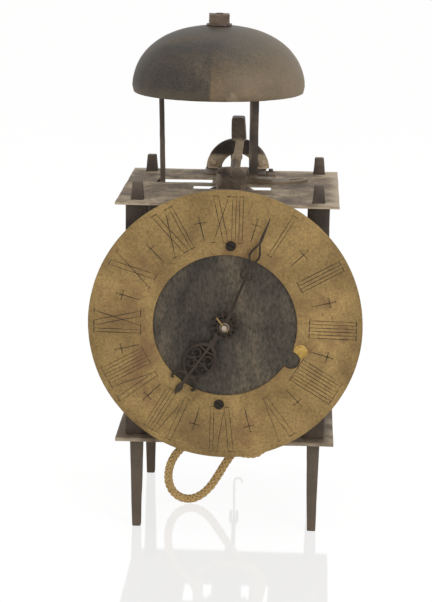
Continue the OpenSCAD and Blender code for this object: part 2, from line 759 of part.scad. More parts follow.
// Motion work in front of the front bar
module cannon_pinion() {
    color("#8d7a4f")
    difference() {
        union() {
            slab(cannon_y, 3) translate(centre) pinion2d(cannon_teeth, motion_mod, minute_teeth, 0);
            on(centre) rod(minute_y + hand_t, cannon_y, cannon_r);
            slab(minute_y, hand_t) translate(centre) rotate(minute_turn) square(hand_seat, center = true);
        }
        on(centre) rod(minute_y + hand_t, cannon_y + 4, arbor_r + run_gap);
        on(centre) rod(minute_y - 1, minute_y + hand_t, nose_r + run_gap);
    }
}
module minute_wheel() {
    color("#a38a55")
    difference() {
        union() {
            slab(minute_wheel_y, motion_t) translate(minute_axis)
                wheel2d(minute_teeth, motion_mod, cannon_teeth, minute_wheel_turn);
            slab(hour_wheel_y - 0.2, minute_wheel_y - hour_wheel_y + 0.2) translate(minute_axis)
                pinion2d(minute_leaves, motion_mod, hour_teeth, minute_leaf_turn);
            for (a = [50, 170, 290]) on(polar(minute_axis, 14, a))
                rod(minute_wheel_y + 0.5, front_bar_y - 0.8, 1);
        }
        on(minute_axis) rod(hour_wheel_y - 2, front_bar_y, 2 + run_gap);
    }
}
module hour_wheel() {
    color("#a38a55")
    difference() {
        union() {
            slab(hour_wheel_y, motion_t) translate(centre) wheel2d(hour_teeth, motion_mod, minute_leaves, hour_wheel_turn);
            on(centre) rod(hour_y + hand_t, hour_wheel_y, pipe_r);
            on(centre) rod(hour_y, hour_y + hand_t, hour_seat_r);
        }
        on(centre) rod(hour_y - 1, hour_wheel_y + 4, cannon_r + run_gap);
    }
}

// Going train

arbor_side = 3.8;
great_side = 6;
module pulley(y) on(great) translate([0, y, 0]) rotate([-90, 0, 0]) rotate_extrude($fn = 64) difference() {
    translate([0, -pulley_half]) square([pulley_out, 2 * pulley_half]);
    translate([rope_r, 0]) circle(r = rope_d / 2 + 0.3);
    polygon([[rope_r, -rope_d / 2 - 0.3], [pulley_out + 1, -5.4], [pulley_out + 1, 5.4], [rope_r, rope_d / 2 + 0.3]]);
}
pulley_out = 23.6;

module going_great_arbor() {
    color("#5a5048")
    on(great) {
        square_rod(mid_back, back_end, great_side);
        rod(middle_bar_back - middle_bar_t / 2 + 0.1, mid_back, pivot_r);
        rod(back_end, back_bar_back, pivot_r);
    }
}
module going_great_wheel() {
    color("#a38a55")
    slab(going_great_y, wheel_t + 0.3) translate(great) crossed(great_teeth, great_mod, leaves, 0, great_side, 9, 4);
}
module going_pulley() {
    color("#7a6238")
    difference() {
        pulley(going_pulley_y);
        on(great) square_rod(going_pulley_y - 9, going_pulley_y + 9, great_side + 2 * seat_gap);
    }
}
module centre_arbor() {
    color("#5a5048") {
        on(centre) {
            rod(middle_bar_y - 0.4, mid_back, arbor_r);
            rod(minute_y + hand_t, middle_bar_y, arbor_r);
            difference() {
                rod(arbor_tip_y, minute_y + hand_t, nose_r);
                hand_pin_way(0.62);
            }
            square_rod(mid_back, back_end, arbor_side);
            rod(back_end, back_bar_back, pivot_r);
        }
        slab(going_great_y - 2, 6.5) translate(centre) pinion2d(leaves, great_mod, great_teeth, centre_leaf_turn);
    }
}
module centre_wheel() {
    color("#a38a55")
    slab(centre_wheel_y, wheel_t) translate(centre) crossed(centre_teeth, centre_mod, leaves, 0, arbor_side);
}
module third_arbor() {
    color("#5a5048") {
        on(third) arbor(mid_back, back_end, middle_bar_y, back_bar_back, train_side);
        slab(centre_wheel_y - 2, 6) translate(third) pinion2d(leaves, centre_mod, centre_teeth, third_leaf_turn);
    }
}
train_side = 3.4;
module third_wheel() {
    color("#a38a55")
    slab(third_y, wheel_t) translate(third) crossed(third_teeth, third_mod, escape_leaves, 0, train_side, 6, 3);
}
module escape_arbor() {
    color("#5a5048") {
        on(escape) arbor(mid_back, back_end, middle_bar_y, back_bar_back, escape_side);
        slab(third_y - 2, 6) translate(escape) pinion2d(escape_leaves, third_mod, third_teeth, escape_leaf_turn);
    }
}
escape_side = 2.6;
escape_depth = 4;
module escape_wheel() {
    color("#a38a55")
    slab(escape_y, 2) translate(escape) difference() {
        polygon([
            for (i = [0:escape_teeth - 1]) let (a = 12 * i)
                each [
                    escape_r * [cos(a), sin(a)],
                    (escape_r - escape_depth) * [cos(a + 4.5), sin(a + 4.5)],
                    (escape_r - escape_depth) * [cos(a + 9), sin(a + 9)],
                    escape_r * [cos(a + 11.4), sin(a + 11.4)]
                ]
        ]);
        windows(5.5, escape_r - escape_depth - 3, 4);
        square(escape_side + 2 * seat_gap, center = true);
    }
}

// Escapement: the anchor straddles the escape wheel, and its pallets clear the tips all through the swing
pallet_side = 3;
module pallet_arbor() {
    color("#5a5048")
    on(pallet) {
        rod(middle_bar_y, middle_bar_back, pivot_r);
        rod(middle_bar_back, cock_y - 0.3, 2);
        rod(cock_y - 0.3, crutch_y, pivot_r);
        square_rod(crutch_y, crutch_y + crutch_t, 2.6);
    }
}
anchor_swing = 3.3;
pallet_clear = 0.35;
swing_shift = (pallet_z - escape[1]) * sin(anchor_swing);
swept = [
    for (side = [1, -1], i = [0:10])
        let (a = side > 0 ? 8 * i : 180 - 8 * (10 - i))
        (escape_r + pallet_clear) * [cos(a), sin(a)] / cos(4) + [side * swing_shift, 0]
];
arch_out = escape_r + pallet_clear + 2.6;
arch = concat(
    [for (i = [0:7]) arch_out * [cos(38 + 6 * i), sin(38 + 6 * i)] + [swing_shift, 0]],
    [for (i = [0:7]) arch_out * [cos(100 + 6 * i), sin(100 + 6 * i)] - [swing_shift, 0]],
    [18 * [cos(142), sin(142)], 18 * [cos(38), sin(38)]]
);
module anchor() {
    color("#514740")
    slab(escape_y - 0.8, 3.6) difference() {
        union() {
            spot(pallet, 4.6);
            bar2d(-3.2, 3.2, escape[1] + escape_r + 1, pallet_z - 2.2);
            translate(escape) difference() {
                polygon(arch);
                polygon(swept);
            }
        }
        spot(pallet, 2 + seat_gap);
    }
}
crutch_y = plate_d / 2 + 4;
crutch_t = 2.4;
crutch_lean = atan2(pend_x, pallet_z - fork_z);
wire_r = 0.9;
module crutch() {
    color("#3c342d") {
        slab(crutch_y, crutch_t) difference() {
            union() {
                spot(pallet, 4.4);
                translate(pallet) rotate(crutch_lean)
                    polygon([[-2.4, 0], [2.4, 0], [1.5, fork_z + 4 - pallet_z], [-1.5, fork_z + 4 - pallet_z]]);
                translate([pend_x, fork_z]) polygon([[-4, 2], [4, 2], [1.6, 6], [-1.6, 6]]);
            }
            translate(pallet) square(2.6 + 2 * seat_gap, center = true);
        }
        for (side = [-1, 1]) translate([pend_x + side * (wire_r + 1.5), 0, 0])
            box(-1, 1, crutch_y, pend_y + 2.5, fork_z - 4, fork_z + 3);
    }
}

// Pendulum: an eye on the cock's pin, a wire, and a hook that would take the bob
hook_z = 12;
module pendulum() {
    color("#6a6258")
    translate([pend_x, pend_y, 0]) {
        translate([0, 0, pend_z]) difference() {
            rod(-1, 1, 3.4);
            rod(-2, 2, pend_pin_r + run_gap + 0.04);
        }
        translate([0, 0, hook_z]) cylinder(h = pend_z - 2.6 - hook_z, r = wire_r);
        translate([3, 0, hook_z]) rotate([90, 0, 0]) rotate(180) rotate_extrude(angle = 200)
            translate([3, 0]) circle(r = wire_r);
    }
}

// Strike train

module strike_great_arbor() {
    color("#5a5048") {
        on(great) {
            rod(front_bar_y, front_end, pivot_r);
            square_rod(count_gear_y + count_gear_t + 0.4, ratchet_y - 0.5, great_side);
            rod(ratchet_y - 0.5, mid_front, loose_r);
            rod(mid_front, middle_bar_y + middle_bar_t / 2 - 0.1, pivot_r);
        }
        slab(front_end, count_gear_y + count_gear_t + 0.4 - front_end) translate(great)
            pinion2d(leaves, count_mod, count_teeth, report_turn);
    }
}
loose_r = 4;
module strike_great_wheel() {
    color("#a38a55") {
        slab(strike_great_y, wheel_t + 0.3) translate(great) difference() {
            union() {
                crossed(great_teeth, great_mod, leaves, 0, great_side, 9, 6.4);
                translate(polar([0, 0], click_pivot_r, click_dir)) circle(r = 3.6);
            }
            translate(polar([0, 0], click_pivot_r, click_dir)) circle(r = 1.5 + seat_gap);
        }
        for (i = [0:7]) on(polar(great, pin_circle, 45 * i + 22.5))
            rod(strike_great_y + wheel_t + 0.3, strike_great_y + wheel_t + 0.3 + hammer_pin_len, pin_r);
    }
}
// The strike pulley turns on its arbor for winding and drives the wheel through a ratchet
ratchet_n = 12;
ratchet_r = 16;
ratchet_depth = 2.6;
module strike_pulley() {
    color("#7a6238")
    difference() {
        union() {
            pulley(strike_pulley_y);
            slab(ratchet_y, ratchet_t) translate(great) polygon([
                for (i = [0:ratchet_n - 1]) let (a = 30 * i)
                    each [
                        ratchet_r * [cos(a), sin(a)], (ratchet_r - ratchet_depth) * [cos(a), sin(a)],
                        (ratchet_r - ratchet_depth * 0.5) * [cos(a + 16), sin(a + 16)]
                    ]
            ]);
            on(great) rod(ratchet_y, strike_pulley_y - pulley_half, 12);
        }
        on(great) rod(ratchet_y - 1, middle_bar_y, loose_r + run_gap);
    }
}
click_dir = 180;
notch_dir = click_dir - 30;
click_pivot_r = 22;
module strike_click() {
    color("#5a5048") {
        on(polar(great, click_pivot_r, click_dir)) rod(strike_great_y, ratchet_y + ratchet_t, 1.5);
        slab(ratchet_y, ratchet_t) translate(great) difference() {
            union() {
                spot(polar([0, 0], click_pivot_r, click_dir), 2.6);
                polygon([
                    polar([0, 0], click_pivot_r + 2.4, click_dir), polar([0, 0], ratchet_r + 2, notch_dir + 3),
                    polar([0, 0], ratchet_r - 1.4, notch_dir + 2), polar([0, 0], ratchet_r + 0.2, notch_dir + 5),
                    polar([0, 0], click_pivot_r - 2.4, click_dir)
                ]);
            }
            circle(r = ratchet_r - ratchet_depth + 0.4);
        }
    }
}

module hoop_arbor() {
    color("#5a5048") {
        on(hoop) arbor(front_end, mid_front, front_bar_y, middle_bar_back, train_side);
        slab(strike_great_y - 2, wheel_t + 4.3) translate(hoop) pinion2d(leaves, great_mod, great_teeth, hoop_leaf_turn);
    }
}
lock_dir = 110;
lock_half = 14;
module hoop_wheel() {
    color("#a38a55") {
        slab(hoop_y, wheel_t) translate(hoop) crossed(hoop_teeth, hoop_mod, fly_leaves, 0, train_side, 6, 4.6);
        slab(band_y, band_w) translate(hoop) difference() {
            polygon([for (i = [0:47]) band_r * [cos(7.5 * i), sin(7.5 * i)]]);
            polygon([for (i = [0:47]) (band_r - 2) * [cos(7.5 * i), sin(7.5 * i)]]);
            polygon([[0, 0], 40 * [cos(lock_dir - lock_half), sin(lock_dir - lock_half)],
                40 * [cos(lock_dir + lock_half), sin(lock_dir + lock_half)]]);
        }
    }
}
module warning_arbor() {
    color("#5a5048") {
        on(warning) arbor(front_end, mid_front, front_bar_y, middle_bar_back, fly_side);
        slab(hoop_y - 1.5, 4.6) translate(warning) pinion2d(fly_leaves, hoop_mod, hoop_teeth, warning_leaf_turn);
    }
}
fly_side = 2.6;
module warning_wheel() {
    color("#a38a55") {
        slab(warning_y, 1.8) translate(warning) crossed(warning_teeth, warning_mod, fly_leaves, 0, fly_side, 5, 3);
        on(polar(warning, warning_circle, 90)) rod(warning_y - 2.4, warning_y + 0.5, warning_pin_r);
    }
}
fly_r = 13.6;
module fly() {
    color("#7a6238") {
        on(fly_axis) {
            arbor(front_end, mid_front, front_bar_y, middle_bar_back, 2.2);
            rotate([0, -35, 0]) box(-fly_r, fly_r, band_y + band_w + 1, -17, -0.4, 0.4);
            rod(band_y + band_w + 1, -17, 1.9);
        }
        slab(warning_y - 1.4, 4.6) translate(fly_axis) pinion2d(fly_leaves, warning_mod, warning_teeth, fly_leaf_turn);
    }
}

// Countwheel: a notch follows the strokes of each hour, and the fourth stroke after three o'clock is on top
function strokes(h) = h * (h + 1) / 2;
module countwheel() {
    color("#a38a55")
    difference() {
        union() {
            slab(count_gear_y, count_gear_t) translate(centre) wheel2d(count_teeth, count_mod, leaves, count_turn);
            slab(count_disc_y, count_disc_t) translate(centre) difference() {
                circle(r = count_r, $fn = 96);
                for (h = [1:12]) rotate(90 + (strokes(h) - strokes(3)) * stroke)
                    translate([count_r - notch_depth, -2.2]) square([notch_depth + 1, 4.4]);
            }
        }
        on(centre) rod(count_gear_y - 1, count_disc_y + count_disc_t + 1, boss_r + run_gap);
        slab(count_gear_y - 1, 6) translate(centre) windows(9, 24, 5);
    }
}

// Levers on arbors of their own: the detent falls into the countwheel and the hoop, the lifting piece
// raises it and holds the warning pin
lever_r = 2;
lifter_r = 2;
module locking_detent() {
    color("#4a4038") {
        on(detent) {
            rod(front_end, mid_front, lever_r);
            rod(front_bar_y, front_end, pivot_r);
            rod(mid_front, middle_bar_back, pivot_r);
        }
        slab(count_disc_y + 0.1, count_disc_t - 0.2) {
            chain([detent, [20, peg[1]], [-12, peg[1]]], arm_w);
            bar2d(-0.8, 0.8, centre_z + count_r + nose_gap, peg[1]);
        }
        on(peg) rod(count_disc_y + count_disc_t - 0.8, lift_arm_y + lift_arm_t - 0.2, 1);
        slab(band_y + 0.2, band_w - 0.4) {
            chain([detent, [27, peg[1]], [24, peg[1] - 25], lock_tip], arm_w - 1);
        }
    }
}
lock_tip = polar(hoop, band_r + 1.5 + nose_gap, lock_dir);
pad_z = peg[1] - 1 - nose_gap - arm_w / 2;
nose_at = polar(warning, 7.2, 165);
module lifting_piece() {
    color("#4a4038") {
        on(lifter) {
            rod(front_bar_y - 2.6, mid_front, lifter_r);
            rod(mid_front, middle_bar_back, lifter_r);
        }
        slab(lift_arm_y, lift_arm_t)
            chain([lifter, [-18, pad_z], [0, pad_z], [20, pad_z - 4.7], nose_at], arm_w);
        on(nose_at) rod(lift_arm_y + 0.4, warning_y - 0.8, 1.2);
        slab(front_bar_y - 2.4, 1.8) chain([lifter, [-46, centre_z - 21.6], [-29.5, centre_z - 27.6]], arm_w - 1);
    }
}

hammer_r = 2.2;
hammer_y = bell_y;
tail_tip = great[0] - pin_circle - pin_r - 0.35;
module hammer_arbor() {
    color("#4a4038") {
        on(hammer_axis) {
            rod(front_bar_y - 0.5, hammer_y + 3, hammer_r);
            rod(-44, -20, 3);
        }
        slab(strike_great_y + wheel_t + 1.2, 3) difference() {
            translate(hammer_axis) bar2d(0, tail_tip - hammer_axis[0], -2, 2);
            spot(great, -tail_tip);
        }
        slab(spring_y - 2, 4) translate(hammer_axis) bar2d(-1.5, 1.5, -12, 0);
    }
}
head_z = mouth_z + 10;
head_x = bell_x - 54.6;
module hammer() {
    color("#3b322b") {
        translate([hammer_axis[0], hammer_y, hammer_axis[1]]) rotate([0, -0.6, 0]) difference() {
            translate([0, 0, 1]) cylinder(h = head_z - hammer_axis[1] + 2, r = 1.9);
            rotate([90, 0, 0]) cylinder(h = 20, r = hammer_r + seat_gap, center = true);
        }
        difference() {
            on(hammer_axis) rod(hammer_y - 2.6, hammer_y + 2.6, 4.4);
            on(hammer_axis) rod(hammer_y - 4, hammer_y + 4, hammer_r + seat_gap);
        }
        translate([head_x, hammer_y, head_z]) rotate([0, 90, 0]) {
            cylinder(h = 4, r1 = 4, r2 = 5.6);
            translate([0, 0, 4]) cylinder(h = 15, r = 5.6);
        }
    }
}
// A leaf on the bottom plate presses the lower tail and throws the hammer at the bell
spring_x = -61;
spring_y = -34;
spring_t = 0.8;
module hammer_spring() {
    color("#5a5048") {
        box(spring_x - 5, hammer_axis[0] - 1.8 - spring_t, spring_y - 3.5, spring_y + 3.5, z_floor, z_floor + 1.2);
        translate([spring_x, spring_y, leg_h]) cylinder(h = plate_t + 2.2, r = rivet_r);
        box(hammer_axis[0] - 1.8 - spring_t, hammer_axis[0] - 1.8, spring_y - 3.5, spring_y + 3.5, z_floor,
            hammer_axis[1] - 7);
    }
}

// Rope

// A tube of even radius along a route, with a ring of sides square to the path at every point
rope_sides = 10;
function unit(v) = v / norm(v);
function heading(route, i) = unit(route[min(i + 1, len(route) - 1)] - route[max(i - 1, 0)]);
function ring(route, i, r) =
    let (t = i == 0 || i == len(route) - 1 ? [0, 0, i == 0 ? -1 : 1] : heading(route, i),
        u = unit(cross(t, [0, 1, 0])), v = cross(u, t))
    [for (s = [0:rope_sides - 1]) let (a = 360 * s / rope_sides) route[i] + r * (cos(a) * u + sin(a) * v)];
function between(a, b, c, d, s) =
    0.5 * (2 * b + (c - a) * s + (2 * a - 5 * b + 4 * c - d) * s ^ 2 + (3 * b - a - 3 * c + d) * s ^ 3);
function smooth(route, cuts) = let (n = len(route) - 1) [
    for (i = [0:n - 1], k = [0:cuts - 1])
        between(route[max(i - 1, 0)], route[i], route[i + 1], route[min(i + 2, n)], k / cuts),
    route[n]
];
module tube(route, r) {
    n = len(route);
    k = rope_sides;
    polyhedron(
        points = [for (i = [0:n - 1]) each ring(route, i, r)],
        faces = [
            [for (s = [0:k - 1]) s],
            for (i = [0:n - 2], s = [0:k - 1]) [i * k + s, i * k + k + s, i * k + k + (s + 1) % k],
            for (i = [0:n - 2], s = [0:k - 1]) [i * k + s, i * k + k + (s + 1) % k, i * k + (s + 1) % k],
            [for (s = [k - 1:-1:0]) (n - 1) * k + s]
        ]
    );
}
module rope_front_bight() color("#b08a55") tube(smooth(front_route, 2), rope_d / 2);
module rope_rear_bight() color("#b08a55") tube(smooth(rear_route, 2), rope_d / 2);

// The rope over a pulley and down to its two holes
module over_pulley(y, left_x, right_x) {
    on(great) translate([0, y, 0]) rotate([90, 0, 0]) rotate_extrude(angle = 180) translate([rope_r, 0])
        circle(r = rope_d / 2);
    strand(-rope_r, left_x, y);
    strand(rope_r, right_x, y);
}
module strand(x_up, x_down, y) {
    fall = great[1] - leg_h;
    lean = atan2(x_up - x_down, fall);
    translate([x_up, y, great[1]]) sphere(r = rope_d / 2);
    difference() {
        translate([x_down, y, leg_h]) rotate([0, lean, 0]) translate([0, 0, -3])
            cylinder(h = fall / cos(lean) + 3, r = rope_d / 2);
        translate([x_down - 8, y - 8, leg_h - 8]) cube([16, 16, 8]);
    }
}
module rope_over_pulleys() {
    color("#b08a55") {
        over_pulley(strike_pulley_y, -rope_r, rear_route[0][0]);
        over_pulley(going_pulley_y, -rope_r, rope_r);
    }
}

top_plate();
bottom_plate();
post_front_left();
post_front_right();
post_rear_left();
post_rear_right();
front_bar();
middle_bar();
back_bar();
frame_fixings();
hanging_hoop();
hoop_strap();
bell_stand();
bell();
bell_washer();
bell_nut();
pendulum_cock();
dial_ring();
dial_centre();
dial_pillars();
dial_screws();
dial_plug();
hour_hand();
minute_hand();
hand_washer();
hand_pin();
cannon_pinion();
minute_wheel();
hour_wheel();
going_great_arbor();
going_great_wheel();
going_pulley();
centre_arbor();
centre_wheel();
third_arbor();
third_wheel();
escape_arbor();
escape_wheel();
pallet_arbor();
anchor();
crutch();
pendulum();
strike_great_arbor();
strike_great_wheel();
strike_pulley();
strike_click();
hoop_arbor();
hoop_wheel();
warning_arbor();
warning_wheel();
fly();
countwheel();
locking_detent();
lifting_piece();
hammer_arbor();
hammer();
hammer_spring();
rope_over_pulleys();
rope_front_bight();
rope_rear_bight();
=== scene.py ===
import json
import math
import bmesh
import bpy
from mathutils import Matrix, Vector, noise


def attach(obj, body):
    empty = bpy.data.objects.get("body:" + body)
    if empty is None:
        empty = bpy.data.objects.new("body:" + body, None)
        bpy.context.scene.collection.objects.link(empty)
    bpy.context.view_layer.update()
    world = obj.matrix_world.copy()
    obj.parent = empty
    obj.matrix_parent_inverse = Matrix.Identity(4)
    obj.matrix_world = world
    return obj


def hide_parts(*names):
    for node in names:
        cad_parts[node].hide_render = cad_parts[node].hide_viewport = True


MM = 0.001
noise.seed_set(1)  # otherwise the unevenness starts from the clock and changes with each run
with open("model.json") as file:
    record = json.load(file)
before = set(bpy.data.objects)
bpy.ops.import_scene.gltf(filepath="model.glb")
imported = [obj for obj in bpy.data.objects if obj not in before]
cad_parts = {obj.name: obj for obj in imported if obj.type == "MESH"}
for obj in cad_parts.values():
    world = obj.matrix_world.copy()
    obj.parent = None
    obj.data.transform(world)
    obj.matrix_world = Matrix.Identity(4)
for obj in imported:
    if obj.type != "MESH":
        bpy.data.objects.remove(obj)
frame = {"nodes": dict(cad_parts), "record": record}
scene = bpy.context.scene
scene.view_settings.view_transform = "Standard"
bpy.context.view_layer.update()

# Heights and axes shared with the frame, in millimetres
centreZ = 151.6
greatZ = 112.0
faceY = -80.3
numeralTurn = 1.0
bellAt = Vector((-11, 16, 298))


def srgb(code):
    parts = [int(code[i:i + 2], 16) / 255 for i in (1, 3, 5)]
    return (*[c / 12.92 if c <= 0.04045 else ((c + 0.055) / 1.055) ** 2.4 for c in parts], 1)


# dark, base and light make the mottling, stain lies over it in patches, and the edge colour is what edges are
# rubbed to; on the chapter ring that edge colour is darker, painted shade along its edges.
# blotch, grain and stainScale are patterns in cycles per metre: 30 is a blotch of about 30 mm, 650 a grain of
# 1.5 mm. low is a height in mm, the colour below it, and the softness of that border in mm.
# On the hoop, the cock and the bell stand the colour below low is painted light, for the parts lit below the bell's
# shadow.
finishes = {
    # hammered wrought iron, handled for centuries: a dull grey brown with pale rubbed edges
    "wornPlateIron": dict(dark="#51443a", base="#7f705e", light="#b4a48c", stain="#6d563c",
                          wearAndEdgeShade="#b9aa94", metal=0.2, rough=(0.55, 0.85), blotch=42, grain=650,
                          stainScale=22, stainAt=0.55, bump=0.55, speck=0.8, pits=0.63, specular=0.25,
                          low=(75, "#665a4a", 6)),
    # forged bar blackened by smoke and oil, a paler brown on the legs below the plate
    "sootyPostIron": dict(dark="#1e1614", base="#352b27", light="#50443c", stain="#4a3121",
                          wearAndEdgeShade="#85745f", metal=0.3, rough=(0.45, 0.72), blotch=40, grain=520,
                          stainScale=22, stainAt=0.6, bump=0.5, low=(67, "#5a4f43", 8)),
    # the bell stand: the same bar, its foot below 237 mm painted a paler brown as painted light, where it lies lit
    # beyond the bell's shadow
    "sootyStandIronPaintedLitFoot": dict(dark="#241c18", base="#3d342d", light="#564a40", stain="#4a3121",
                           wearAndEdgeShade="#85745f", metal=0.3, rough=(0.45, 0.7), blotch=45, grain=560,
                           stainScale=24, stainAt=0.6, bump=0.45, low=(237, "#7b6a54", 5)),
    # a rusty brown nut
    "rustyNutIron": dict(dark="#3f3327", base="#5f5043", light="#7f6c5a", stain="#725132", wearAndEdgeShade="#ab9881",
                         metal=0.25, rough=(0.5, 0.78), blotch=45, grain=560, stainScale=30, stainAt=0.58,
                         bump=0.5),
    # plain forged and filed iron
    "forgedIron": dict(dark="#2c221d", base="#4a3e34", light="#69594a", stain="#5e4028", wearAndEdgeShade="#a39282",
                       metal=0.35, rough=(0.42, 0.7), blotch=60, grain=600, stainScale=35, stainAt=0.6,
                       bump=0.45),
    # the hoop: plain iron, its legs below 245 mm painted pale as painted light, where they are lit below the bell's
    # shadow on the crown
    "hoopIronPaintedLitLegs": dict(dark="#332a24", base="#4d433a", light="#685b4e", stain="#3c2e24", wearAndEdgeShade="#a09080",
                     metal=0.3, rough=(0.4, 0.66), blotch=55, grain=600, stainScale=35, stainAt=0.62,
                     bump=0.4, low=(245, "#c4b093", 2.5)),
    # the cock: a brown iron block, its stem below 258 mm painted pale as painted light, where it is lit below the
    # bell's shadow on the block
    "cockIronPaintedLitStem": dict(dark="#332a24", base="#4d4239", light="#65574a", stain="#3c2c22", wearAndEdgeShade="#907f6f",
                     metal=0.3, rough=(0.45, 0.7), blotch=55, grain=600, stainScale=35, stainAt=0.62,
                     bump=0.45, low=(258, "#b8a68b", 3)),
    # dark sheet iron with upright hammer strokes
    "hammeredSheetIron": dict(dark="#342f29", base="#4a443b", light="#675c4d", stain="#363029",
                              wearAndEdgeShade="#6c6153", metal=0.2, rough=(0.55, 0.8), blotch=32, grain=620,
                              stainScale=24, stainAt=0.58, bump=0.9, stretch=(1, 1, 0.5), speck=0.95,
                              specular=0.3),
    # steel blackened and oiled, as on hands
    "blackenedSteel": dict(dark="#14120f", base="#1f1b17", light="#302a24", stain="#30241b",
                           wearAndEdgeShade="#4a4138", metal=0.1, rough=(0.6, 0.85), blotch=70, grain=700,
                           stainScale=45, stainAt=0.62, bump=0.3, specular=0.18),
    # sheet brass without lacquer, gone to an even brown; its dark edge colour is painted shade along the ring's
    # edges
    "unlacqueredDialBrass": dict(dark="#745e39", base="#90774a", light="#a68a58", stain="#75573a",
                                 wearAndEdgeShade="#66532f", metal=0.2, rough=(0.5, 0.75), blotch=30, grain=560,
                                 stainScale=19, stainAt=0.54, bump=0.45, speck=0.6, pits=0.67,
                                 specular=0.35),
    # brass kept bright by rubbing
    "rubbedBrass": dict(dark="#7e622f", base="#a7853f", light="#bfa05a", stain="#64492a", wearAndEdgeShade="#cfb274",
                        metal=0.5, rough=(0.32, 0.52), blotch=90, grain=700, stainScale=60, stainAt=0.62,
                        bump=0.3),
    # cast wheel brass, filed and slightly oily
    "castWheelBrass": dict(dark="#6c552d", base="#a08147", light="#c19f5e", stain="#554326",
                           wearAndEdgeShade="#dbbb75", metal=0.6, rough=(0.34, 0.56), blotch=45, grain=600,
                           stainScale=28, stainAt=0.6, bump=0.25),
    # the same brass, dulled by rope dust
    "dullPulleyBrass": dict(dark="#554326", base="#7f6439", light="#a1824c", stain="#43331d",
                            wearAndEdgeShade="#c3a062", metal=0.5, rough=(0.42, 0.65), blotch=50, grain=600,
                            stainScale=30, stainAt=0.58, bump=0.3),
    # bell metal with a brown skin, turned inside and out; its right side is a warmer brown, with a painted
    # highlight growing paler towards the right
    "castBellMetal": dict(dark="#332e28", base="#403a33", light="#51483d", stain="#2f2a25",
                          wearAndEdgeShade="#8f806a", metal=0.3, rough=(0.45, 0.66), blotch=22, grain=620,
                          stainScale=14, stainAt=0.58, bump=0.35, speck=0.6, rings=True,
                          patch=dict(border=-14.5, top=332, brown="#5f5140", tan="#7f6a4e",
                                     paintedRightHighlight="#8d7f6a"),
                          specular=0.35),
    # turned steel pivots and wires
    "wornArborSteel": dict(dark="#453e37", base="#71685d", light="#9a8f81", stain="#544033",
                           wearAndEdgeShade="#bfb3a3", metal=0.6, rough=(0.32, 0.55), blotch=70, grain=700,
                           stainScale=40, stainAt=0.62, bump=0.2),
    # black wax in the cuts, worn thin in places
    "engravingWax": dict(dark="#1d160e", base="#2f2418", light="#483723", stain="#5f4a2c", wearAndEdgeShade="#483723",
                         metal=0.0, rough=(0.75, 0.95), blotch=120, grain=800, stainScale=70,
                         stainAt=0.56, bump=0.1),
    # braided hemp: matt straw brown with dirty hollows
    "braidedHemp": dict(dark="#8f6b34", base="#b38c4c", light="#cda768", stain="#7a5a2c", wearAndEdgeShade="#dcc08c",
                        metal=0.0, rough=(0.85, 1.0), blotch=130, grain=1100, stainScale=90, stainAt=0.57,
                        bump=0.6, speck=0.3, specular=0.1),
}


def add(tree, kind, inputs=(), output=None, stops=(), **settings):
    made = tree.nodes.new("ShaderNode" + kind)
    for key, value in settings.items():
        setattr(made, key, value)
    for key, value in dict(inputs).items():
        if isinstance(value, bpy.types.NodeSocket):
            tree.links.new(value, made.inputs[key])
        else:
            made.inputs[key].default_value = value
    while stops and len(made.color_ramp.elements) < len(stops):
        made.color_ramp.elements.new(0.5)
    for i, (at, colour) in enumerate(stops):
        made.color_ramp.elements[i].position = at
        grey = not isinstance(colour, str)
        made.color_ramp.elements[i].color = (colour, colour, colour, 1) if grey else srgb(colour)
    return made.outputs[output] if output else next(s for s in made.outputs if s.enabled)


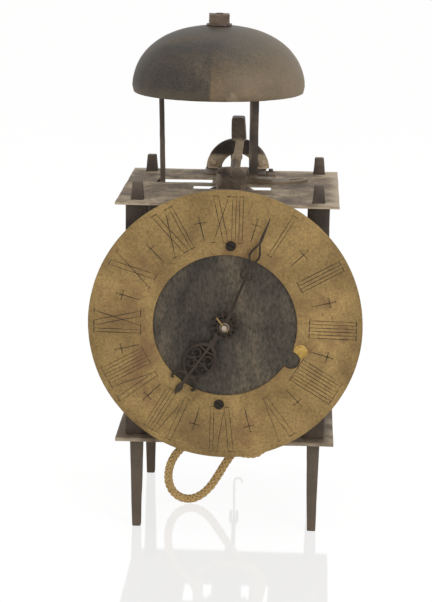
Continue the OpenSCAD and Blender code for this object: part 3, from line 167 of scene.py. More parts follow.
def makeFinish(name, look):
    material = bpy.data.materials.new(name)
    material.use_nodes = True
    tree = material.node_tree
    skin = tree.nodes["Principled BSDF"]

    place = add(tree, "TexCoord", output="Object")
    split = add(tree, "SeparateXYZ", {0: place}).node
    laid = add(tree, "Mapping", {"Vector": place, "Scale": look.get("stretch", (1, 1, 1))})
    shifted = add(tree, "Mapping", {"Vector": place, "Location": (0.4, 0.7, 0.2)})
    broad = add(tree, "TexNoise", {"Vector": laid, "Scale": look["blotch"], "Detail": 6, "Roughness": 0.62,
                                   "Distortion": 0.5})
    fine = add(tree, "TexNoise", {"Vector": laid, "Scale": look["grain"], "Detail": 4, "Roughness": 0.7})
    patchy = add(tree, "TexNoise", {"Vector": shifted, "Scale": look["stainScale"], "Detail": 8,
                                    "Roughness": 0.7, "Distortion": 0.3})
    centred = add(tree, "Math", {0: broad, 1: 0.5}, operation="SUBTRACT")
    colour = add(tree, "ValToRGB", {0: broad}, stops=[(0.32, look["dark"]), (0.5, look["base"]),
                                                      (0.68, look["light"])])
    if "low" in look:  # below this height the surface is another colour; on the hoop, cock and bell stand it is painted light, lit below the bell's shadow
        height, code, soft = look["low"]
        edge = add(tree, "Math", {0: split.outputs[2], 1: -1000 / soft, 2: height / soft + 0.5},
                   operation="MULTIPLY_ADD")
        edge = add(tree, "Math", {0: centred, 1: 2.0, 2: edge}, operation="MULTIPLY_ADD", use_clamp=True)
        paler = add(tree, "Mix", {6: colour, 7: srgb(code), 0: 0.75}, data_type="RGBA")
        colour = add(tree, "Mix", {6: colour, 7: paler, 0: edge}, data_type="RGBA")
    speckle = add(tree, "ValToRGB", {0: fine}, stops=[(0.3, 0.2), (0.7, 0.8)])
    colour = add(tree, "Mix", {6: colour, 7: speckle, 0: look.get("speck", 0.4)}, data_type="RGBA",
                 blend_type="OVERLAY")
    stained = add(tree, "ValToRGB", {0: patchy}, stops=[(look["stainAt"], 0.0),
                                                        (look["stainAt"] + 0.14, 0.85)])
    colour = add(tree, "Mix", {6: colour, 7: srgb(look["stain"]), 0: stained}, data_type="RGBA")
    if "pits" in look:  # small dark pits, about 3 mm apart
        dots = add(tree, "TexNoise", {"Vector": shifted, "Scale": 330, "Detail": 2, "Roughness": 0.5})
        dots = add(tree, "ValToRGB", {0: dots}, stops=[(look["pits"], 0.0), (look["pits"] + 0.05, 0.75)])
        colour = add(tree, "Mix", {6: colour, 7: srgb(look["dark"]), 0: dots}, data_type="RGBA")
    if "patch" in look:  # a warmer skin to the right of a ragged border and below a height, and a painted highlight growing paler towards the right
        patch = look["patch"]
        ragged = add(tree, "TexNoise", {"Vector": place, "Scale": 60, "Detail": 6, "Roughness": 0.6})
        ragged = add(tree, "Math", {0: ragged, 1: 0.03, 2: -0.015}, operation="MULTIPLY_ADD")
        across = add(tree, "Math", {0: split.outputs[0], 1: 60, 2: -60 * MM * patch["border"]},
                     operation="MULTIPLY_ADD")
        across = add(tree, "Math", {0: ragged, 1: 7.2, 2: across}, operation="MULTIPLY_ADD")
        right = add(tree, "ValToRGB", {0: across}, stops=[(0.0, 0.0), (0.14, 1.0)])
        height = add(tree, "Math", {0: split.outputs[2], 1: -40, 2: 40 * MM * patch["top"]},
                     operation="MULTIPLY_ADD")
        height = add(tree, "Math", {0: ragged, 1: -40, 2: height}, operation="MULTIPLY_ADD")
        under = add(tree, "ValToRGB", {0: height}, stops=[(0.1, 0.0), (0.9, 1.0)])
        warm = add(tree, "TexNoise", {"Vector": place, "Scale": 60, "Detail": 8, "Roughness": 0.7})
        warm = add(tree, "ValToRGB", {0: warm}, stops=[(0.36, patch["brown"]), (0.62, patch["tan"])])
        both = add(tree, "Math", {0: right, 1: under}, operation="MULTIPLY")
        both = add(tree, "Math", {0: both, 1: 0.72}, operation="MULTIPLY")
        colour = add(tree, "Mix", {6: colour, 7: warm, 0: both}, data_type="RGBA")
        # painted highlight: paler towards the right, where the light falls on the bell
        paintedRightHighlight = add(tree, "Math", {0: split.outputs[0], 1: 20, 2: 0.28}, operation="MULTIPLY_ADD")
        paintedRightHighlight = add(tree, "ValToRGB", {0: paintedRightHighlight}, stops=[(0.0, 0.0), (1.0, 0.6)])
        paintedRightHighlight = add(tree, "Math", {0: paintedRightHighlight, 1: 0.75}, operation="MULTIPLY")
        colour = add(tree, "Mix", {6: colour, 7: srgb(patch["paintedRightHighlight"]), 0: paintedRightHighlight}, data_type="RGBA")
        colour = add(tree, "Mix", {6: colour, 7: speckle, 0: 0.3}, data_type="RGBA", blend_type="OVERLAY")
    # edges take the edge colour: rubbed pale on most finishes, painted shade on the chapter ring
    ridge = add(tree, "NewGeometry", output="Pointiness")
    ridge = add(tree, "Math", {0: centred, 1: 0.06, 2: ridge}, operation="MULTIPLY_ADD")
    edges = add(tree, "ValToRGB", {0: ridge}, stops=[(0.51, 0.0), (0.6, 0.7)])
    colour = add(tree, "Mix", {6: colour, 7: srgb(look["wearAndEdgeShade"]), 0: edges}, data_type="RGBA")
    tree.links.new(colour, skin.inputs["Base Color"])
    glossy, matt = look["rough"]
    uneven = add(tree, "Mix", {6: broad, 7: fine, 0: 0.5}, data_type="RGBA")
    gloss = add(tree, "MapRange", {"Value": uneven, "From Min": 0.3, "From Max": 0.7, "To Min": glossy,
                                   "To Max": matt})
    tree.links.new(gloss, skin.inputs["Roughness"])
    skin.inputs["Metallic"].default_value = look["metal"]
    skin.inputs["Specular IOR Level"].default_value = look.get("specular", 0.5)
    relief = add(tree, "Math", {0: fine, 1: 0.35, 2: broad}, operation="MULTIPLY_ADD")
    if "rings" in look:  # turning marks, 0.7 mm apart
        turned = add(tree, "Mapping", {"Vector": place, "Scale": (0.02, 0.02, 1)})
        turned = add(tree, "TexNoise", {"Vector": turned, "Scale": 1500, "Detail": 3, "Roughness": 0.8})
        relief = add(tree, "Math", {0: turned, 1: 0.5, 2: relief}, operation="MULTIPLY_ADD")
    if "stretch" in look:  # hammer strokes, 2.4 mm wide and 15 mm high
        dents = add(tree, "Mapping", {"Vector": place, "Scale": (1, 1, 0.16)})
        dents = add(tree, "TexNoise", {"Vector": dents, "Scale": 420, "Detail": 4, "Roughness": 0.6})
        relief = add(tree, "Math", {0: dents, 1: 1.1, 2: relief}, operation="MULTIPLY_ADD")
    bump = add(tree, "Bump", {"Strength": look["bump"], "Distance": 0.0006, "Height": relief})
    tree.links.new(bump, skin.inputs["Normal"])
    return material


materials = {name: makeFinish(name, look) for name, look in finishes.items()}
print("finishes", len(materials))


def publish(name, bm, finish, body, stands=(), slot=None, sharp=38):
    bmesh.ops.triangulate(bm, faces=[f for f in bm.faces if len(f.verts) > 4])
    mesh = bpy.data.meshes.new(name)
    bm.to_mesh(mesh)
    bm.free()
    for face in mesh.polygons:
        face.use_smooth = True
    mesh.set_sharp_from_angle(angle=math.radians(sharp))
    mesh.materials.append(materials[finish])
    made = bpy.data.objects.new(name, mesh)
    scene.collection.objects.link(made)
    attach(made, body)
    if stands:
        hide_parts(*stands)
    return made


def wander(bm, amount, wave, seed=0, axes=(1, 1, 1), fine=0.35):
    for vert in bm.verts:
        at = vert.co / (wave * MM) + Vector((seed * 7.3, seed * 3.1, seed * 5.7))
        push = noise.noise_vector(at) + fine * noise.noise_vector(at * 3.7)
        vert.co += Vector([p * a for p, a in zip(push, axes)]) * amount * MM


def cutAcross(bm, axis, cell):
    values = [v.co[axis] for v in bm.verts]
    low, high = min(values), max(values)
    steps = int((high - low) / (cell * MM))
    direction = Vector([1 if i == axis else 0 for i in range(3)])
    for i in range(1, steps + 1):
        at = direction * (low + (high - low) * i / (steps + 1))
        whole = bm.verts[:] + bm.edges[:] + bm.faces[:]
        bmesh.ops.bisect_plane(bm, geom=whole, plane_co=at, plane_no=direction, dist=1e-6)


def copied(node):
    bm = bmesh.new()
    bm.from_mesh(frame["nodes"][node].data)
    bmesh.ops.remove_doubles(bm, verts=bm.verts, dist=2e-6)
    bmesh.ops.dissolve_limit(bm, angle_limit=math.radians(0.8), verts=bm.verts, edges=bm.edges)
    return bm


def soften(bm, width, segments=2, angle=30):
    edges = [e for e in bm.edges if e.is_manifold and e.calc_face_angle(0) > math.radians(angle)]
    bmesh.ops.bevel(bm, geom=edges, offset=width * MM, offset_type="OFFSET", segments=segments, profile=0.5,
                    affect="EDGES", clamp_overlap=True, material=-1)


# Pieces that keep the shape of their solid, with worn edges and a forged or cast surface.
# edge is the width that is rounded off, wobble and wave the depth and length of the unevenness, and cells the
# spacing of the cuts it needs, all in mm. The front and middle bars are nearly even, so that the wheels clear them.
plate = dict(finish="wornPlateIron", edge=0.45, wobble=0.3, wave=34, cells=(7, 7, None), slot="worn_iron")
post = dict(finish="sootyPostIron", edge=0.8, wobble=0.3, wave=26, cells=(None, None, 7), slot="dark_iron")
bar = dict(finish="forgedIron", edge=0.4, wobble=0.15, wave=20, cells=(None, None, 10), slot="iron")
wheel = dict(finish="castWheelBrass", edge=0.12, wobble=0.0, wave=9, cells=None, slot="wheel_brass")
arbor = dict(finish="wornArborSteel", edge=0.12, wobble=0.0, wave=9, cells=None, slot="worn_steel")
lever = dict(finish="forgedIron", edge=0.25, wobble=0.0, wave=9, cells=None, slot="iron")
pulley = dict(finish="dullPulleyBrass", edge=0.3, wobble=0.0, wave=9, cells=None, slot="pulley_brass")
dressed = {
    "top_plate": plate,
    "bottom_plate": plate,
    "post_front_left": post,
    "post_front_right": post,
    "post_rear_left": post,
    "post_rear_right": post,
    "front_bar": dict(bar, wobble=0.03),
    "middle_bar": dict(bar, edge=0.6, wobble=0.04, wave=18, cells=(6, None, 5), sharp=20),
    "back_bar": bar,
    "frame_fixings": dict(lever, edge=0.35, wobble=0.15, wave=5),
    "hoop_strap": dict(finish="forgedIron", edge=0.5, wobble=0.3, wave=14, cells=(5, 5, None),
                       slot="dark_iron"),
    "hanging_hoop": dict(finish="hoopIronPaintedLitLegs", edge=0.5, wobble=0.25, wave=14, cells=(4, None, 4),
                         slot="iron"),
    "bell_stand": dict(finish="sootyStandIronPaintedLitFoot", edge=0.5, wobble=0.25, wave=13, cells=(6, None, 6),
                       slot="iron"),
    "bell_washer": dict(finish="forgedIron", edge=0.3, wobble=0.15, wave=8, cells=(3, 3, None),
                        slot="dark_iron"),
    "bell_nut": dict(finish="rustyNutIron", edge=1.1, wobble=0.5, wave=6, cells=(2.5, 2.5, 2.5),
                     slot="dark_iron"),
    "pendulum_cock": dict(finish="cockIronPaintedLitStem", edge=0.6, wobble=0.25, wave=9, cells=(3, 3, 4), slot="iron"),
    "dial_centre": dict(finish="hammeredSheetIron", edge=0.2, wobble=0.12, wave=16, cells=(5, None, 5),
                        slot="dark_iron"),
    "dial_pillars": dict(lever, edge=0.2),
    "dial_screws": dict(lever, finish="blackenedSteel", edge=0.3, slot="dark_iron"),
    "dial_plug": dict(finish="rubbedBrass", edge=0.3, wobble=0.25, wave=3, cells=(1, None, 1),
                      slot="bright_brass"),
    "hand_washer": dict(finish="forgedIron", edge=0.2, wobble=0.0, wave=5, cells=None, slot="dark_iron"),
    "hand_pin": dict(pulley, edge=0.1),
    "centre_arbor": dict(arbor, edge=0.2),
    "crutch": dict(bar, edge=0.35, wobble=0.1, cells=(None, None, 9)),
    "anchor": dict(lever, edge=0.3),
    "pallet_arbor": dict(lever, edge=0.12),
    "hammer_arbor": dict(lever, edge=0.3),
    "locking_detent": lever,
    "lifting_piece": lever,
    "strike_click": dict(lever, edge=0.2),
    "hammer_spring": dict(arbor, edge=0.15),
    "going_pulley": dict(pulley, edge=0.4),
    "strike_pulley": pulley,
    "fly": dict(pulley, edge=0.1),
}
for name in ("cannon_pinion", "minute_wheel", "hour_wheel", "going_great_wheel", "centre_wheel",
             "third_wheel", "escape_wheel", "strike_great_wheel", "hoop_wheel", "warning_wheel",
             "countwheel"):
    dressed[name] = wheel
for name in ("going_great_arbor", "third_arbor", "escape_arbor", "strike_great_arbor", "hoop_arbor",
             "warning_arbor"):
    dressed[name] = arbor
bodyOf = {node: body for body, nodes in frame["record"]["behaviour"]["bodies"].items() for node in nodes}

for seed, (name, plan) in enumerate(dressed.items()):
    bm = copied(name)
    soften(bm, plan["edge"], segments=3 if plan["edge"] > 0.4 else 2)
    for axis, cell in enumerate(plan["cells"] or ()):
        if cell:
            cutAcross(bm, axis, cell)
    if plan["wobble"]:
        wander(bm, plan["wobble"], plan["wave"], seed)
    publish(name.replace("_", "") + "Worked", bm, plan["finish"], bodyOf[name], [name], plan["slot"],
            plan.get("sharp", 38))
print("dressed", len(dressed))


def smoothLine(route, step):
    points = [Vector(p) for p in route]
    smooth = []
    for i in range(len(points) - 1):
        a, b, c, d = points[max(i - 1, 0)], points[i], points[i + 1], points[min(i + 2, len(points) - 1)]
        for k in range(16):
            s = k / 16
            smooth.append(0.5 * (2 * b + (c - a) * s + (2 * a - 5 * b + 4 * c - d) * s ** 2
                                 + (3 * b - a - 3 * c + d) * s ** 3))
    smooth.append(points[-1])
    spaced = [smooth[0]]
    run = 0.0
    for a, b in zip(smooth, smooth[1:]):
        length = (b - a).length
        while run + length >= step and length > 0:
            a = a + (b - a) * ((step - run) / length)
            spaced.append(a.copy())
            length = (b - a).length
            run = 0.0
        run += length
    if (spaced[-1] - smooth[-1]).length > step * 0.4:
        spaced.append(smooth[-1])
    else:
        spaced[-1] = smooth[-1]
    return spaced


def carriage(line, first):
    side = first
    out = []
    for i, at in enumerate(line):
        ahead = (line[min(i + 1, len(line) - 1)] - line[max(i - 1, 0)]).normalized()
        side = (side - ahead * side.dot(ahead)).normalized()
        out.append((at, side.copy(), ahead.cross(side)))
    return out


def drawOut(bm, rings):
    face = bm.faces.new([bm.verts.new(p * MM) for p in rings[0]])
    for i, ring in enumerate(rings[1:]):
        made = bmesh.ops.extrude_face_region(bm, geom=[face])
        ahead = next(g for g in made["geom"] if isinstance(g, bmesh.types.BMFace))
        if i:
            bm.faces.remove(face)
        for vert, at in zip(ahead.verts, ring):
            vert.co = at * MM
        face = ahead


def sweep(bm, line, section, first=Vector((0, 1, 0))):
    last = len(line) - 1
    drawOut(bm, [[at + side * u + up * v for u, v in section(i / last)]
                 for i, (at, side, up) in enumerate(carriage(line, first))])


def rounded(width, depth, corner):
    out = []
    for sx, sy, start in ((1, 1, 0), (-1, 1, 90), (-1, -1, 180), (1, -1, 270)):
        for k in range(3):
            a = math.radians(start + 45 * k)
            out.append((sx * (width / 2 - corner) + corner * math.cos(a), sy * (depth / 2 - corner)
                        + corner * math.sin(a)))
    return out


def circle(radius, count=16):
    return [(radius * math.cos(2 * math.pi * k / count), radius * math.sin(2 * math.pi * k / count))
            for k in range(count)]


# Bell: the section is an outer and an inner superellipse joined by a rounded lip, spun about the stud
bellPlan = dict(radius=60.8, height=46.0, wall=2.6, power=2.25, turns=144, hole=0.4, tuck=1.1, tuckBelow=6)


def dome(radius, height, steps):
    angles = [math.pi / 2 * (i / steps) ** 0.9 for i in range(steps + 1)]
    return [(radius * math.cos(a) ** (2 / bellPlan["power"]), height * math.sin(a) ** (2 / bellPlan["power"]))
            for a in angles]


outer = [(r - bellPlan["tuck"] * max(0, 1 - z / bellPlan["tuckBelow"]) ** 2, z)
         for r, z in dome(bellPlan["radius"], bellPlan["height"], 34)]
inner = dome(bellPlan["radius"] - bellPlan["wall"], bellPlan["height"] - bellPlan["wall"], 26)
lipWall = bellPlan["wall"] - bellPlan["tuck"]
lip = [(outer[0][0] - lipWall * t, -0.4 * math.sin(math.pi * t)) for t in (0.15, 0.4, 0.65, 0.88)]
profile = [(bellPlan["hole"], outer[-1][1])] + outer[-2::-1] + lip + inner[:-1]
profile += [(bellPlan["hole"], inner[-1][1])]
bm = bmesh.new()
section = [bm.verts.new((bellAt + Vector((r, 0, z))) * MM) for r, z in profile]
section += [bm.edges.new(pair) for pair in zip(section, section[1:])]
bmesh.ops.spin(bm, geom=section, cent=bellAt * MM, axis=(0, 0, 1), angle=2 * math.pi, steps=bellPlan["turns"],
               use_merge=True)
for vert in bm.verts:  # a casting is never quite round
    out = vert.co - bellAt * MM
    a = math.atan2(out.y, out.x)
    swell = 0.0025 * math.sin(2 * a + 0.6) + 0.0015 * math.sin(5 * a)
    vert.co += Vector((out.x, out.y, 0)) * swell
wander(bm, 0.12, 9, 3)
bmesh.ops.recalc_face_normals(bm, faces=bm.faces)
publish("bellTurned", bm, "castBellMetal", "frame", ["bell"], "bell_metal", sharp=60)

# Hammer: a tapered stem on its arbor and a turned head lying level inside the bell
hammerPlan = dict(x=-49.5, y=16, z=118, head=308, lean=math.radians(0.6), face=-65.6, length=19)
bm = bmesh.new()
line = []
for i in range(40):
    z = hammerPlan["z"] + 2 + (hammerPlan["head"] + 3 - hammerPlan["z"] - 2) * i / 39
    bow = 0.9 * math.sin(math.pi * i / 39)
    line.append(Vector((hammerPlan["x"] - (z - hammerPlan["z"]) * math.tan(hammerPlan["lean"]) + bow,
                        hammerPlan["y"], z)))
sweep(bm, line, lambda t: rounded(4.5 - 0.5 * t, 3.9 - 0.5 * t, 1.3))
hub = [Vector((hammerPlan["x"], hammerPlan["y"] - 2.6 + 5.2 * i / 4, hammerPlan["z"])) for i in range(5)]
sweep(bm, hub, lambda t: circle(4.4 - 0.5 * abs(2 * t - 1) ** 4, 24), Vector((0, 0, 1)))
head = [Vector((hammerPlan["face"] + hammerPlan["length"] * i / 14, hammerPlan["y"], hammerPlan["head"]))
        for i in range(15)]
sweep(bm, head, lambda t: circle(5.6 - 1.5 * max(0, 1 - t / 0.22) ** 1.5
                                 - 0.8 * max(0, (t - 0.86) / 0.14) ** 2, 26), Vector((0, 0, 1)))
wander(bm, 0.16, 9, 8)
bmesh.ops.recalc_face_normals(bm, faces=bm.faces)
publish("hammerForged", bm, "sootyPostIron", "hammer", ["hammer"], "dark_iron")

# Pendulum: a wire with an eye at the top and an open hook below
pendulumPlan = dict(x=2, y=80, z=265.7, low=12, eye=2.35, hook=3, wire=0.9)
bm = bmesh.new()
px, py, pz = pendulumPlan["x"], pendulumPlan["y"], pendulumPlan["z"]
eye = [Vector((px + pendulumPlan["eye"] * math.sin(a), py, pz - pendulumPlan["eye"] * math.cos(a)))
       for a in [2 * math.pi * i / 28 for i in range(27)]]
sweep(bm, eye, lambda t: circle(pendulumPlan["wire"], 10))
top = pz - pendulumPlan["eye"]
low, hook = pendulumPlan["low"], pendulumPlan["hook"]
wire = [Vector((px + 0.12 * math.sin(i / 3.0), py, top - (top - low) * i / 50)) for i in range(51)]
wire += [Vector((px + hook * (1 - math.cos(a)), py, low - hook * math.sin(a)))
         for a in [math.radians(200) * i / 14 for i in range(1, 15)]]
sweep(bm, wire, lambda t: circle(pendulumPlan["wire"], 10))
bmesh.ops.recalc_face_normals(bm, faces=bm.faces)
publish("pendulumWire", bm, "wornArborSteel", "pendulum", ["pendulum"], "worn_steel")
print("bell, hammer, pendulum")

# Chapter ring with a slightly uneven outline, holes, and the bruised edge
bm = copied("dial_ring")
soften(bm, 0.3, 2)
cutAcross(bm, 0, 6)
cutAcross(bm, 2, 6)
wander(bm, 0.16, 30, 11, axes=(1, 0, 1))
publish("chapterRing", bm, "unlacqueredDialBrass", "frame", ["dial_ring"], "dial_brass")

# Engraving: every numeral stands with its feet towards the centre. fade is how far a numeral is worn away.
dialPlan = dict(top=88.3, foot=56.8, above=0.035, line=0.5, iStroke=2.4, broad=3.3, serif=1.1,
                letters={"I": 4.8, "V": 13.5, "X": 12.5}, cross=(59.5, 76.0, 72.0, 3.2),
                fade={12: 0.85, 1: 0.85, 5: 0.7, 6: 0.75, 7: 0.7, 8: 0.8, 10: 0.9})
numerals = {12: "XII", 1: "I", 2: "II", 3: "III", 4: "IIII", 5: "V", 6: "VI", 7: "VII", 8: "VIII", 9: "IX",
            10: "X", 11: "XI"}


def dialPoint(x, r, hour):
    a = math.radians(hour * 30 + numeralTurn)
    return Vector((r * math.sin(a) + x * math.cos(a), faceY - dialPlan["above"],
                   centreZ + r * math.cos(a) - x * math.sin(a)))


def scratch(bm, hour, x0, r0, x1, r1, width=0.5):
    a, b = dialPoint(x0, r0, hour), dialPoint(x1, r1, hour)
    ahead = (b - a).normalized()
    side = Vector((-ahead.z, 0, ahead.x))
    length = (b - a).length
    width *= dialPlan["fade"].get(hour, 1)
    turn = Matrix((ahead, side, ahead.cross(side))).transposed().to_4x4()
    place = Matrix.Translation((a + b) / 2 * MM) @ turn @ Matrix.Diagonal((length * MM, width * MM, MM, 1))
    made = bmesh.ops.create_grid(bm, x_segments=max(3, int(length / 3)), y_segments=1, size=0.5, matrix=place)
    for vert in made["verts"]:
        at = vert.co / MM
        t = (at - a).dot(ahead) / length
        spine = a + ahead * length * t
        worn = 1 + 0.4 * noise.noise(spine / 1.7) + 0.7 * min(0, noise.noise(spine / 14) + 0.1)
        taper = 0.35 + 0.65 * min(1, 5 * min(t, 1 - t))
        vert.co = (spine + (at - spine) * taper * worn + side * noise.noise(spine / 6.0) * 0.16) * MM


def broadStroke(bm, hour, x0, r0, x1, r1, width):
    length = math.hypot(x1 - x0, r1 - r0)
    nx, nr = (r1 - r0) / length * width / 2, -(x1 - x0) / length * width / 2
    for sign in (1, -1):
        scratch(bm, hour, x0 + sign * nx, r0 + sign * nr, x1 + sign * nx, r1 + sign * nr, dialPlan["line"])
    for x, r in ((x0, r0), (x1, r1)):
        scratch(bm, hour, x - width / 2 - dialPlan["serif"], r, x + width / 2 + dialPlan["serif"], r, 0.6)


bm = bmesh.new()
topR, footR = dialPlan["top"], dialPlan["foot"]
for hour, word in numerals.items():
    x = -sum(dialPlan["letters"][c] for c in word) / 2
    for letter in word:
        w = dialPlan["letters"][letter]
        if letter == "I":
            broadStroke(bm, hour, x + w / 2, topR, x + w / 2, footR, dialPlan["iStroke"])
        elif letter == "V":
            broadStroke(bm, hour, x + 2.2, topR, x + w / 2 - 0.4, footR, dialPlan["broad"])
            scratch(bm, hour, x + w - 1.4, topR, x + w / 2 + 0.8, footR, 0.55)
            scratch(bm, hour, x + w - 3.0, topR, x + w + 0.2, topR, 0.6)
        else:
            broadStroke(bm, hour, x + 2.4, topR, x + w - 2.4, footR, dialPlan["broad"])
            scratch(bm, hour, x + w - 1.4, topR, x + 1.6, footR, 0.55)
            scratch(bm, hour, x + w - 3.0, topR, x + w + 0.2, topR, 0.6)
            scratch(bm, hour, x - 0.2, footR, x + 3.2, footR, 0.6)
        x += w
stemLow, stemHigh, armR, arm = dialPlan["cross"]
for half in range(12):
    hour = half + 0.5
    scratch(bm, hour, 0, stemLow, 0, stemHigh, 0.62)
    scratch(bm, hour, -arm, armR, arm, armR, 0.62)
    for side in (-1, 1):
        scratch(bm, hour, side * arm, armR - 0.8, side * arm, armR + 0.8, 0.5)
    scratch(bm, hour, -0.9, stemHigh, 0.9, stemHigh, 0.5)
publish("dialEngraving", bm, "engravingWax", "frame")


# Hands, drawn as flat filed ribbons with broken edges
def ribbon(bm, turn, y, points, widths, thick=1.2):
    turn = math.radians(turn)
    flat = [Vector((x, 0, u)) for x, u in points]
    rings = []
    for i, at in enumerate(flat):
        ahead = (flat[min(i + 1, len(flat) - 1)] - flat[max(i - 1, 0)]).normalized()
        side = Vector((ahead.z, 0, -ahead.x))
        half = widths[i] / 2 if isinstance(widths, (list, tuple)) else widths / 2
        chamfer = min(0.3, half * 0.45)
        ring = []
        for u, v in ((-half, thick), (-half, chamfer), (-half + chamfer, 0), (half - chamfer, 0),
                     (half, chamfer), (half, thick)):
            p = at + side * u
            ring.append(Vector((p.x * math.cos(turn) + p.z * math.sin(turn), y + v,
                                centreZ - p.x * math.sin(turn) + p.z * math.cos(turn))))
        rings.append(ring)
    drawOut(bm, rings)


def scroll(cx, cu, radius, start, sweepAngle, shrink=0.0, count=14):
    out = []
    for i in range(count + 1):
        a = math.radians(start + sweepAngle * i / count)
        r = radius * (1 - shrink * i / count)
        out.append((cx + r * math.cos(a), cu + r * math.sin(a)))
    return out


minutePlan = dict(turn=21.4, y=-84.8)
hourPlan = dict(turn=214.9, y=-82.6)
bm = bmesh.new()
where = (bm, minutePlan["turn"], minutePlan["y"])
ribbon(*where, scroll(0, 0, 5.0, 0, 360, count=24), 0.9)
ribbon(*where, scroll(0, 0, 3.9, 0, 360, count=24), 2.2)
ribbon(*where, [(0, 4.4), (0.2, 12), (-0.1, 22), (0.15, 31), (0, 40), (0, 48.6)],
       [3.0, 2.2, 1.8, 1.6, 1.8, 1.6])
for side in (-1, 1):
    ribbon(*where, [(0, 48), (side * 2.2, 49.6), (side * 3.4, 52.4), (side * 2.7, 55.8), (side * 1.2, 59.2),
                    (0, 62.6)], [1.4, 1.4, 1.5, 1.4, 1.2, 1.1])
    ribbon(*where, [(0, 36.4), (side * 2.2, 35.8), (side * 3.6, 37.2), (side * 4.1, 39.2), (side * 3.5, 40.7),
                    (side * 2.5, 40.5)], [1.2, 1.2, 1.2, 1.1, 1.0, 0.6])
ribbon(*where, [(0, 61), (0, 65), (0, 70), (0, 80)], [1.5, 2.0, 1.7, 0.5])
bmesh.ops.recalc_face_normals(bm, faces=bm.faces)
wander(bm, 0.06, 6, 14, axes=(1, 0.3, 1))
publish("minuteHandFiled", bm, "blackenedSteel", "minute_work", ["minute_hand"], "blackened_steel")

bm = bmesh.new()
where = (bm, hourPlan["turn"], hourPlan["y"])
ribbon(*where, scroll(0, 0, 5.0, 0, 360, count=30), 1.6)
ribbon(*where, scroll(0, 0, 7.6, 0, 360, count=30), 1.3)
for i in range(12):
    a = math.radians(30 * i + 15)
    ribbon(*where, [(r * math.cos(a), r * math.sin(a)) for r in (5.4, 9.4)], [1.5, 1.9])
ribbon(*where, [(0, 7), (0, 12), (0, 14), (0, 17.5)], [4.2, 3.2, 4.6, 3.2])
ribbon(*where, [(0, 16), (0, 30), (0, 44)], [2.0, 1.8, 2.0])
for side in (-1, 1):
    ribbon(*where, [(0, 16), (side * 5.4, 19.0), (side * 9.0, 24.0), (side * 10.2, 29.5), (side * 8.6, 35),
                    (side * 5.0, 39.4), (side * 1.6, 42.4), (0, 44)],
           [2.2, 2.2, 2.4, 2.4, 2.2, 2.0, 1.8, 1.6])
    ribbon(*where, scroll(side * 5.0, 26.0, 3.5, 90, 330 * side, 0.35), 1.3)
    ribbon(*where, scroll(side * 3.9, 34.2, 2.8, -90, -320 * side, 0.35), 1.2)
    ribbon(*where, [(0, 30.4), (side * 4, 30.2), (side * 8.6, 31.6)], 1.2)
    ribbon(*where, [(0, 21.6), (side * 3, 21.0), (side * 6.4, 20.4)], 1.2)
    ribbon(*where, [(side * 1.4, 41.4), (side * 4.8, 42.2), (side * 7.6, 44.4), (side * 9.2, 47.6),
                    (side * 8.4, 49.6), (side * 7.0, 49.0)], [2.4, 2.2, 2.2, 2.0, 1.5, 0.7])
ribbon(*where, [(0, 43), (0, 48), (0, 51)], [3.0, 2.2, 2.4])
ribbon(*where, [(0, 50), (0, 52), (0, 54.4), (0, 58)], [2.4, 4.6, 4.0, 0.5])
bmesh.ops.recalc_face_normals(bm, faces=bm.faces)
wander(bm, 0.06, 6, 15, axes=(1, 0.3, 1))
publish("hourHandFiled", bm, "blackenedSteel", "hour_work", ["hour_hand"], "blackened_steel")
print("dial and hands")

# Rope: a braid of eight strands, four each way, over a core
ropePlan = dict(radius=3.25, strand=1.0, pairs=4, pitch=15.0, over=0.34, core=1.9, step=0.6)


def braid(bm, line, first=Vector((0, 1, 0))):
    frames = carriage(line, first)
    travelled = [0.0]
    for a, b in zip(line, line[1:]):
        travelled.append(travelled[-1] + (b - a).length)
    curve = bpy.data.curves.new("strands", "CURVE")
    curve.dimensions = "3D"
    curve.bevel_depth = ropePlan["strand"] * MM
    curve.bevel_resolution = 1
    curve.use_fill_caps = True
    middle = ropePlan["radius"] - ropePlan["strand"] - ropePlan["over"]
    for sign in (1, -1):
        for strand in range(ropePlan["pairs"]):
            spline = curve.splines.new("POLY")
            spline.points.add(len(line) - 1)
            for point, (at, side, up), run in zip(spline.points, frames, travelled):
                turn = 2 * math.pi * run / ropePlan["pitch"]
                a = sign * turn + 2 * math.pi * (strand + (0.5 if sign < 0 else 0)) / ropePlan["pairs"]
                out = middle + sign * ropePlan["over"] * math.sin(ropePlan["pairs"] * turn)
                fray = 0.14 * noise.noise(at / 1.1 + Vector((strand * 1.7, sign, 0)))
                point.co = (*((at + (side * math.cos(a) + up * math.sin(a)) * (out + fray)) * MM), 1)
    holder = bpy.data.objects.new("strands", curve)
    scene.collection.objects.link(holder)
    mesh = bpy.data.meshes.new_from_object(holder.evaluated_get(bpy.context.evaluated_depsgraph_get()))
    bm.from_mesh(mesh)
    bpy.data.objects.remove(holder)
    bpy.data.meshes.remove(mesh)
    bpy.data.curves.remove(curve)
    bmesh.ops.remove_doubles(bm, verts=bm.verts, dist=1e-7)
    coreLine = line[::2] + ([line[-1]] if len(line) % 2 == 0 else [])
    sweep(bm, coreLine, lambda t: circle(ropePlan["core"], 8), first)


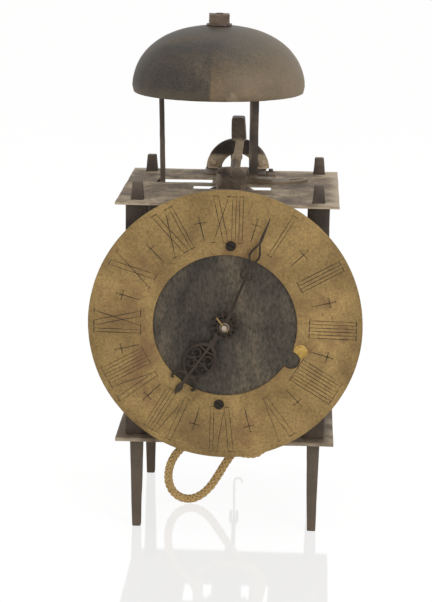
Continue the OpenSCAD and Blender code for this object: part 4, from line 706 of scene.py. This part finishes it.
frontRoute = [(-20, -25, 66), (-20.6, -25, 60), (-24, -24.4, 54), (-30, -23.2, 48.6), (-35.6, -21.6, 42.6),
              (-39.6, -19.6, 35), (-41.8, -17.6, 26.6), (-41.6, -15, 18), (-38.6, -12.2, 10),
              (-32.6, -9.6, 4.8), (-25.4, -7.4, 3.6), (-18.4, -5.6, 6.4), (-12.4, -4, 12),
              (-7.6, -2.6, 19), (-3.2, -1.2, 26.4),
              (1.6, -0.2, 34), (7, 0.4, 41.6), (13, 0.8, 49), (18, 1, 56), (19.7, 1, 61), (20, 1, 66)]
rearRoute = [(25, -25, 66), (26.3, -25, 60), (27.2, -24.8, 54), (25.6, -24, 48.2), (20.6, -22.2, 44),
             (13.6, -19.2, 42.6), (6, -15.6, 43), (-1.6, -11.4, 44.6), (-8.6, -7, 47.6), (-14.4, -3, 51.8),
             (-18.4, -0.4, 57), (-19.8, 0.8, 61.6), (-20, 1, 66)]
for name, route, node in (("frontBight", frontRoute, "rope_front_bight"),
                          ("rearBight", rearRoute, "rope_rear_bight")):
    line = smoothLine(route, ropePlan["step"])
    bm = bmesh.new()
    braid(bm, line)
    rope = publish(name, bm, "braidedHemp", "frame", [node], "rope", sharp=70)
    length = sum((b - a).length for a, b in zip(line, line[1:])) * MM
    print(name, round(length, 4))
bm = bmesh.new()
hang = dict(low=66, radius=20, straight=76, arc=104)
for y, leftX, rightX in ((-25, -20, 25), (1, -20, 20)):
    line = [Vector((leftX, y, hang["low"] + (greatZ - hang["low"]) * i / hang["straight"]))
            for i in range(hang["straight"] + 1)]
    line += [Vector((-hang["radius"] * math.cos(a), y, greatZ + hang["radius"] * math.sin(a))) for a in
             [math.pi * i / hang["arc"] for i in range(1, hang["arc"])]]
    line += [Vector((hang["radius"] + (rightX - hang["radius"]) * i / hang["straight"], y,
                     greatZ - (greatZ - hang["low"]) * i / hang["straight"]))
             for i in range(hang["straight"] + 1)]
    braid(bm, line)
publish("ropeOverPulleys", bm, "braidedHemp", "frame", ["rope_over_pulleys"], "rope", sharp=70)
print("rope")

# Studio: a pale polished floor with faint sharp reflections, white surroundings and soft lights
floorPlan = dict(reflect=0.17, shade=0.12, polish=0.05, colour="#f4f3f1")
floorMaterial = bpy.data.materials.new("polishedFloor")
floorMaterial.use_nodes = True
tree = floorMaterial.node_tree
plain = tree.nodes["Principled BSDF"].outputs[0]
tree.nodes["Principled BSDF"].inputs["Base Color"].default_value = srgb(floorPlan["colour"])
tree.nodes["Principled BSDF"].inputs["Roughness"].default_value = 0.5
shadowed = add(tree, "BsdfDiffuse", {"Color": (1, 1, 1, 1)})
white = add(tree, "Emission", {"Color": (1, 1, 1, 1), "Strength": 1.03})
mirror = add(tree, "BsdfGlossy", {"Color": (1, 1, 1, 1), "Roughness": floorPlan["polish"]})
seen = add(tree, "MixShader", {0: floorPlan["shade"], 1: white, 2: shadowed})
seen = add(tree, "MixShader", {0: floorPlan["reflect"], 1: seen, 2: mirror})
whole = add(tree, "MixShader", {0: add(tree, "LightPath", output="Is Camera Ray"), 1: plain, 2: seen})
tree.links.new(whole, tree.nodes["Material Output"].inputs["Surface"])
bm = bmesh.new()
bmesh.ops.create_grid(bm, x_segments=1, y_segments=1, size=7, matrix=Matrix.Translation((0, 2, 0)))
mesh = bpy.data.meshes.new("studioFloorPlane")
bm.to_mesh(mesh)
bm.free()
mesh.materials.append(floorMaterial)
floor = bpy.data.objects.new("studioFloorPlane", mesh)
scene.collection.objects.link(floor)

world = bpy.data.worlds.new("studioWhite")
scene.world = world
world.use_nodes = True
tree = world.node_tree
rays = {kind: add(tree, "LightPath", output=kind) for kind in ("Is Camera Ray", "Is Glossy Ray",
                                                               "Is Transmission Ray")}
shown = add(tree, "Math", {0: rays["Is Camera Ray"], 1: rays["Is Glossy Ray"]}, operation="MAXIMUM")
shown = add(tree, "Math", {0: shown, 1: rays["Is Transmission Ray"]}, operation="MAXIMUM")
soft = tree.nodes["Background"]
soft.inputs["Color"].default_value = (1.0, 0.975, 0.945, 1)
soft.inputs["Strength"].default_value = 0.6
clear = add(tree, "Background", {"Color": (1, 1, 1, 1), "Strength": 1.04})
both = add(tree, "MixShader", {0: shown, 1: soft.outputs[0], 2: clear})
tree.links.new(both, tree.nodes["World Output"].inputs["Surface"])

lights = {
    "keyPanel": dict(at=(1.1, -1.45, 0.95), aim=(0, 0, 0.18), size=0.8, power=12),
    "fillPanel": dict(at=(-1.2, -1.0, 0.7), aim=(0, 0, 0.15), size=1.2, power=3),
    "topPanel": dict(at=(0.1, 0.2, 1.5), aim=(0, 0, 0.2), size=1.2, power=5),
}
for name, plan in lights.items():
    lamp = bpy.data.lights.new(name, "AREA")
    lamp.size = plan["size"]
    lamp.energy = plan["power"]
    holder = bpy.data.objects.new(name, lamp)
    holder.location = plan["at"]
    holder.rotation_euler = (Vector(plan["aim"]) - Vector(plan["at"])).to_track_quat("-Z", "Y").to_euler()
    scene.collection.objects.link(holder)

# Camera fitted to the photograph: turned a little to the right, tilted down, focal length in frame heights
cameraPlan = dict(yaw=2.81, pitch=13.2, roll=0.73, focal=1904.24 / 602, at=(0.0548, -1.32151, 0.46014))
yaw, pitch, roll = (math.radians(cameraPlan[k]) for k in ("yaw", "pitch", "roll"))
back = Vector((math.sin(yaw) * math.cos(pitch), -math.cos(yaw) * math.cos(pitch), math.sin(pitch)))
right = Vector((math.cos(yaw), math.sin(yaw), 0))
up = right.cross(-back)
rightRolled = right * math.cos(roll) + up * math.sin(roll)
upRolled = up * math.cos(roll) - right * math.sin(roll)
lens = bpy.data.cameras.new("photoCamera")
lens.sensor_width = 36
lens.lens = cameraPlan["focal"] * lens.sensor_width
lens.clip_start, lens.clip_end = 0.05, 40
camera = bpy.data.objects.new("photoCamera", lens)
camera.matrix_world = Matrix.Translation(cameraPlan["at"]) @ Matrix(
    (rightRolled, upRolled, back)).transposed().to_4x4()
scene.collection.objects.link(camera)
scene.camera = camera
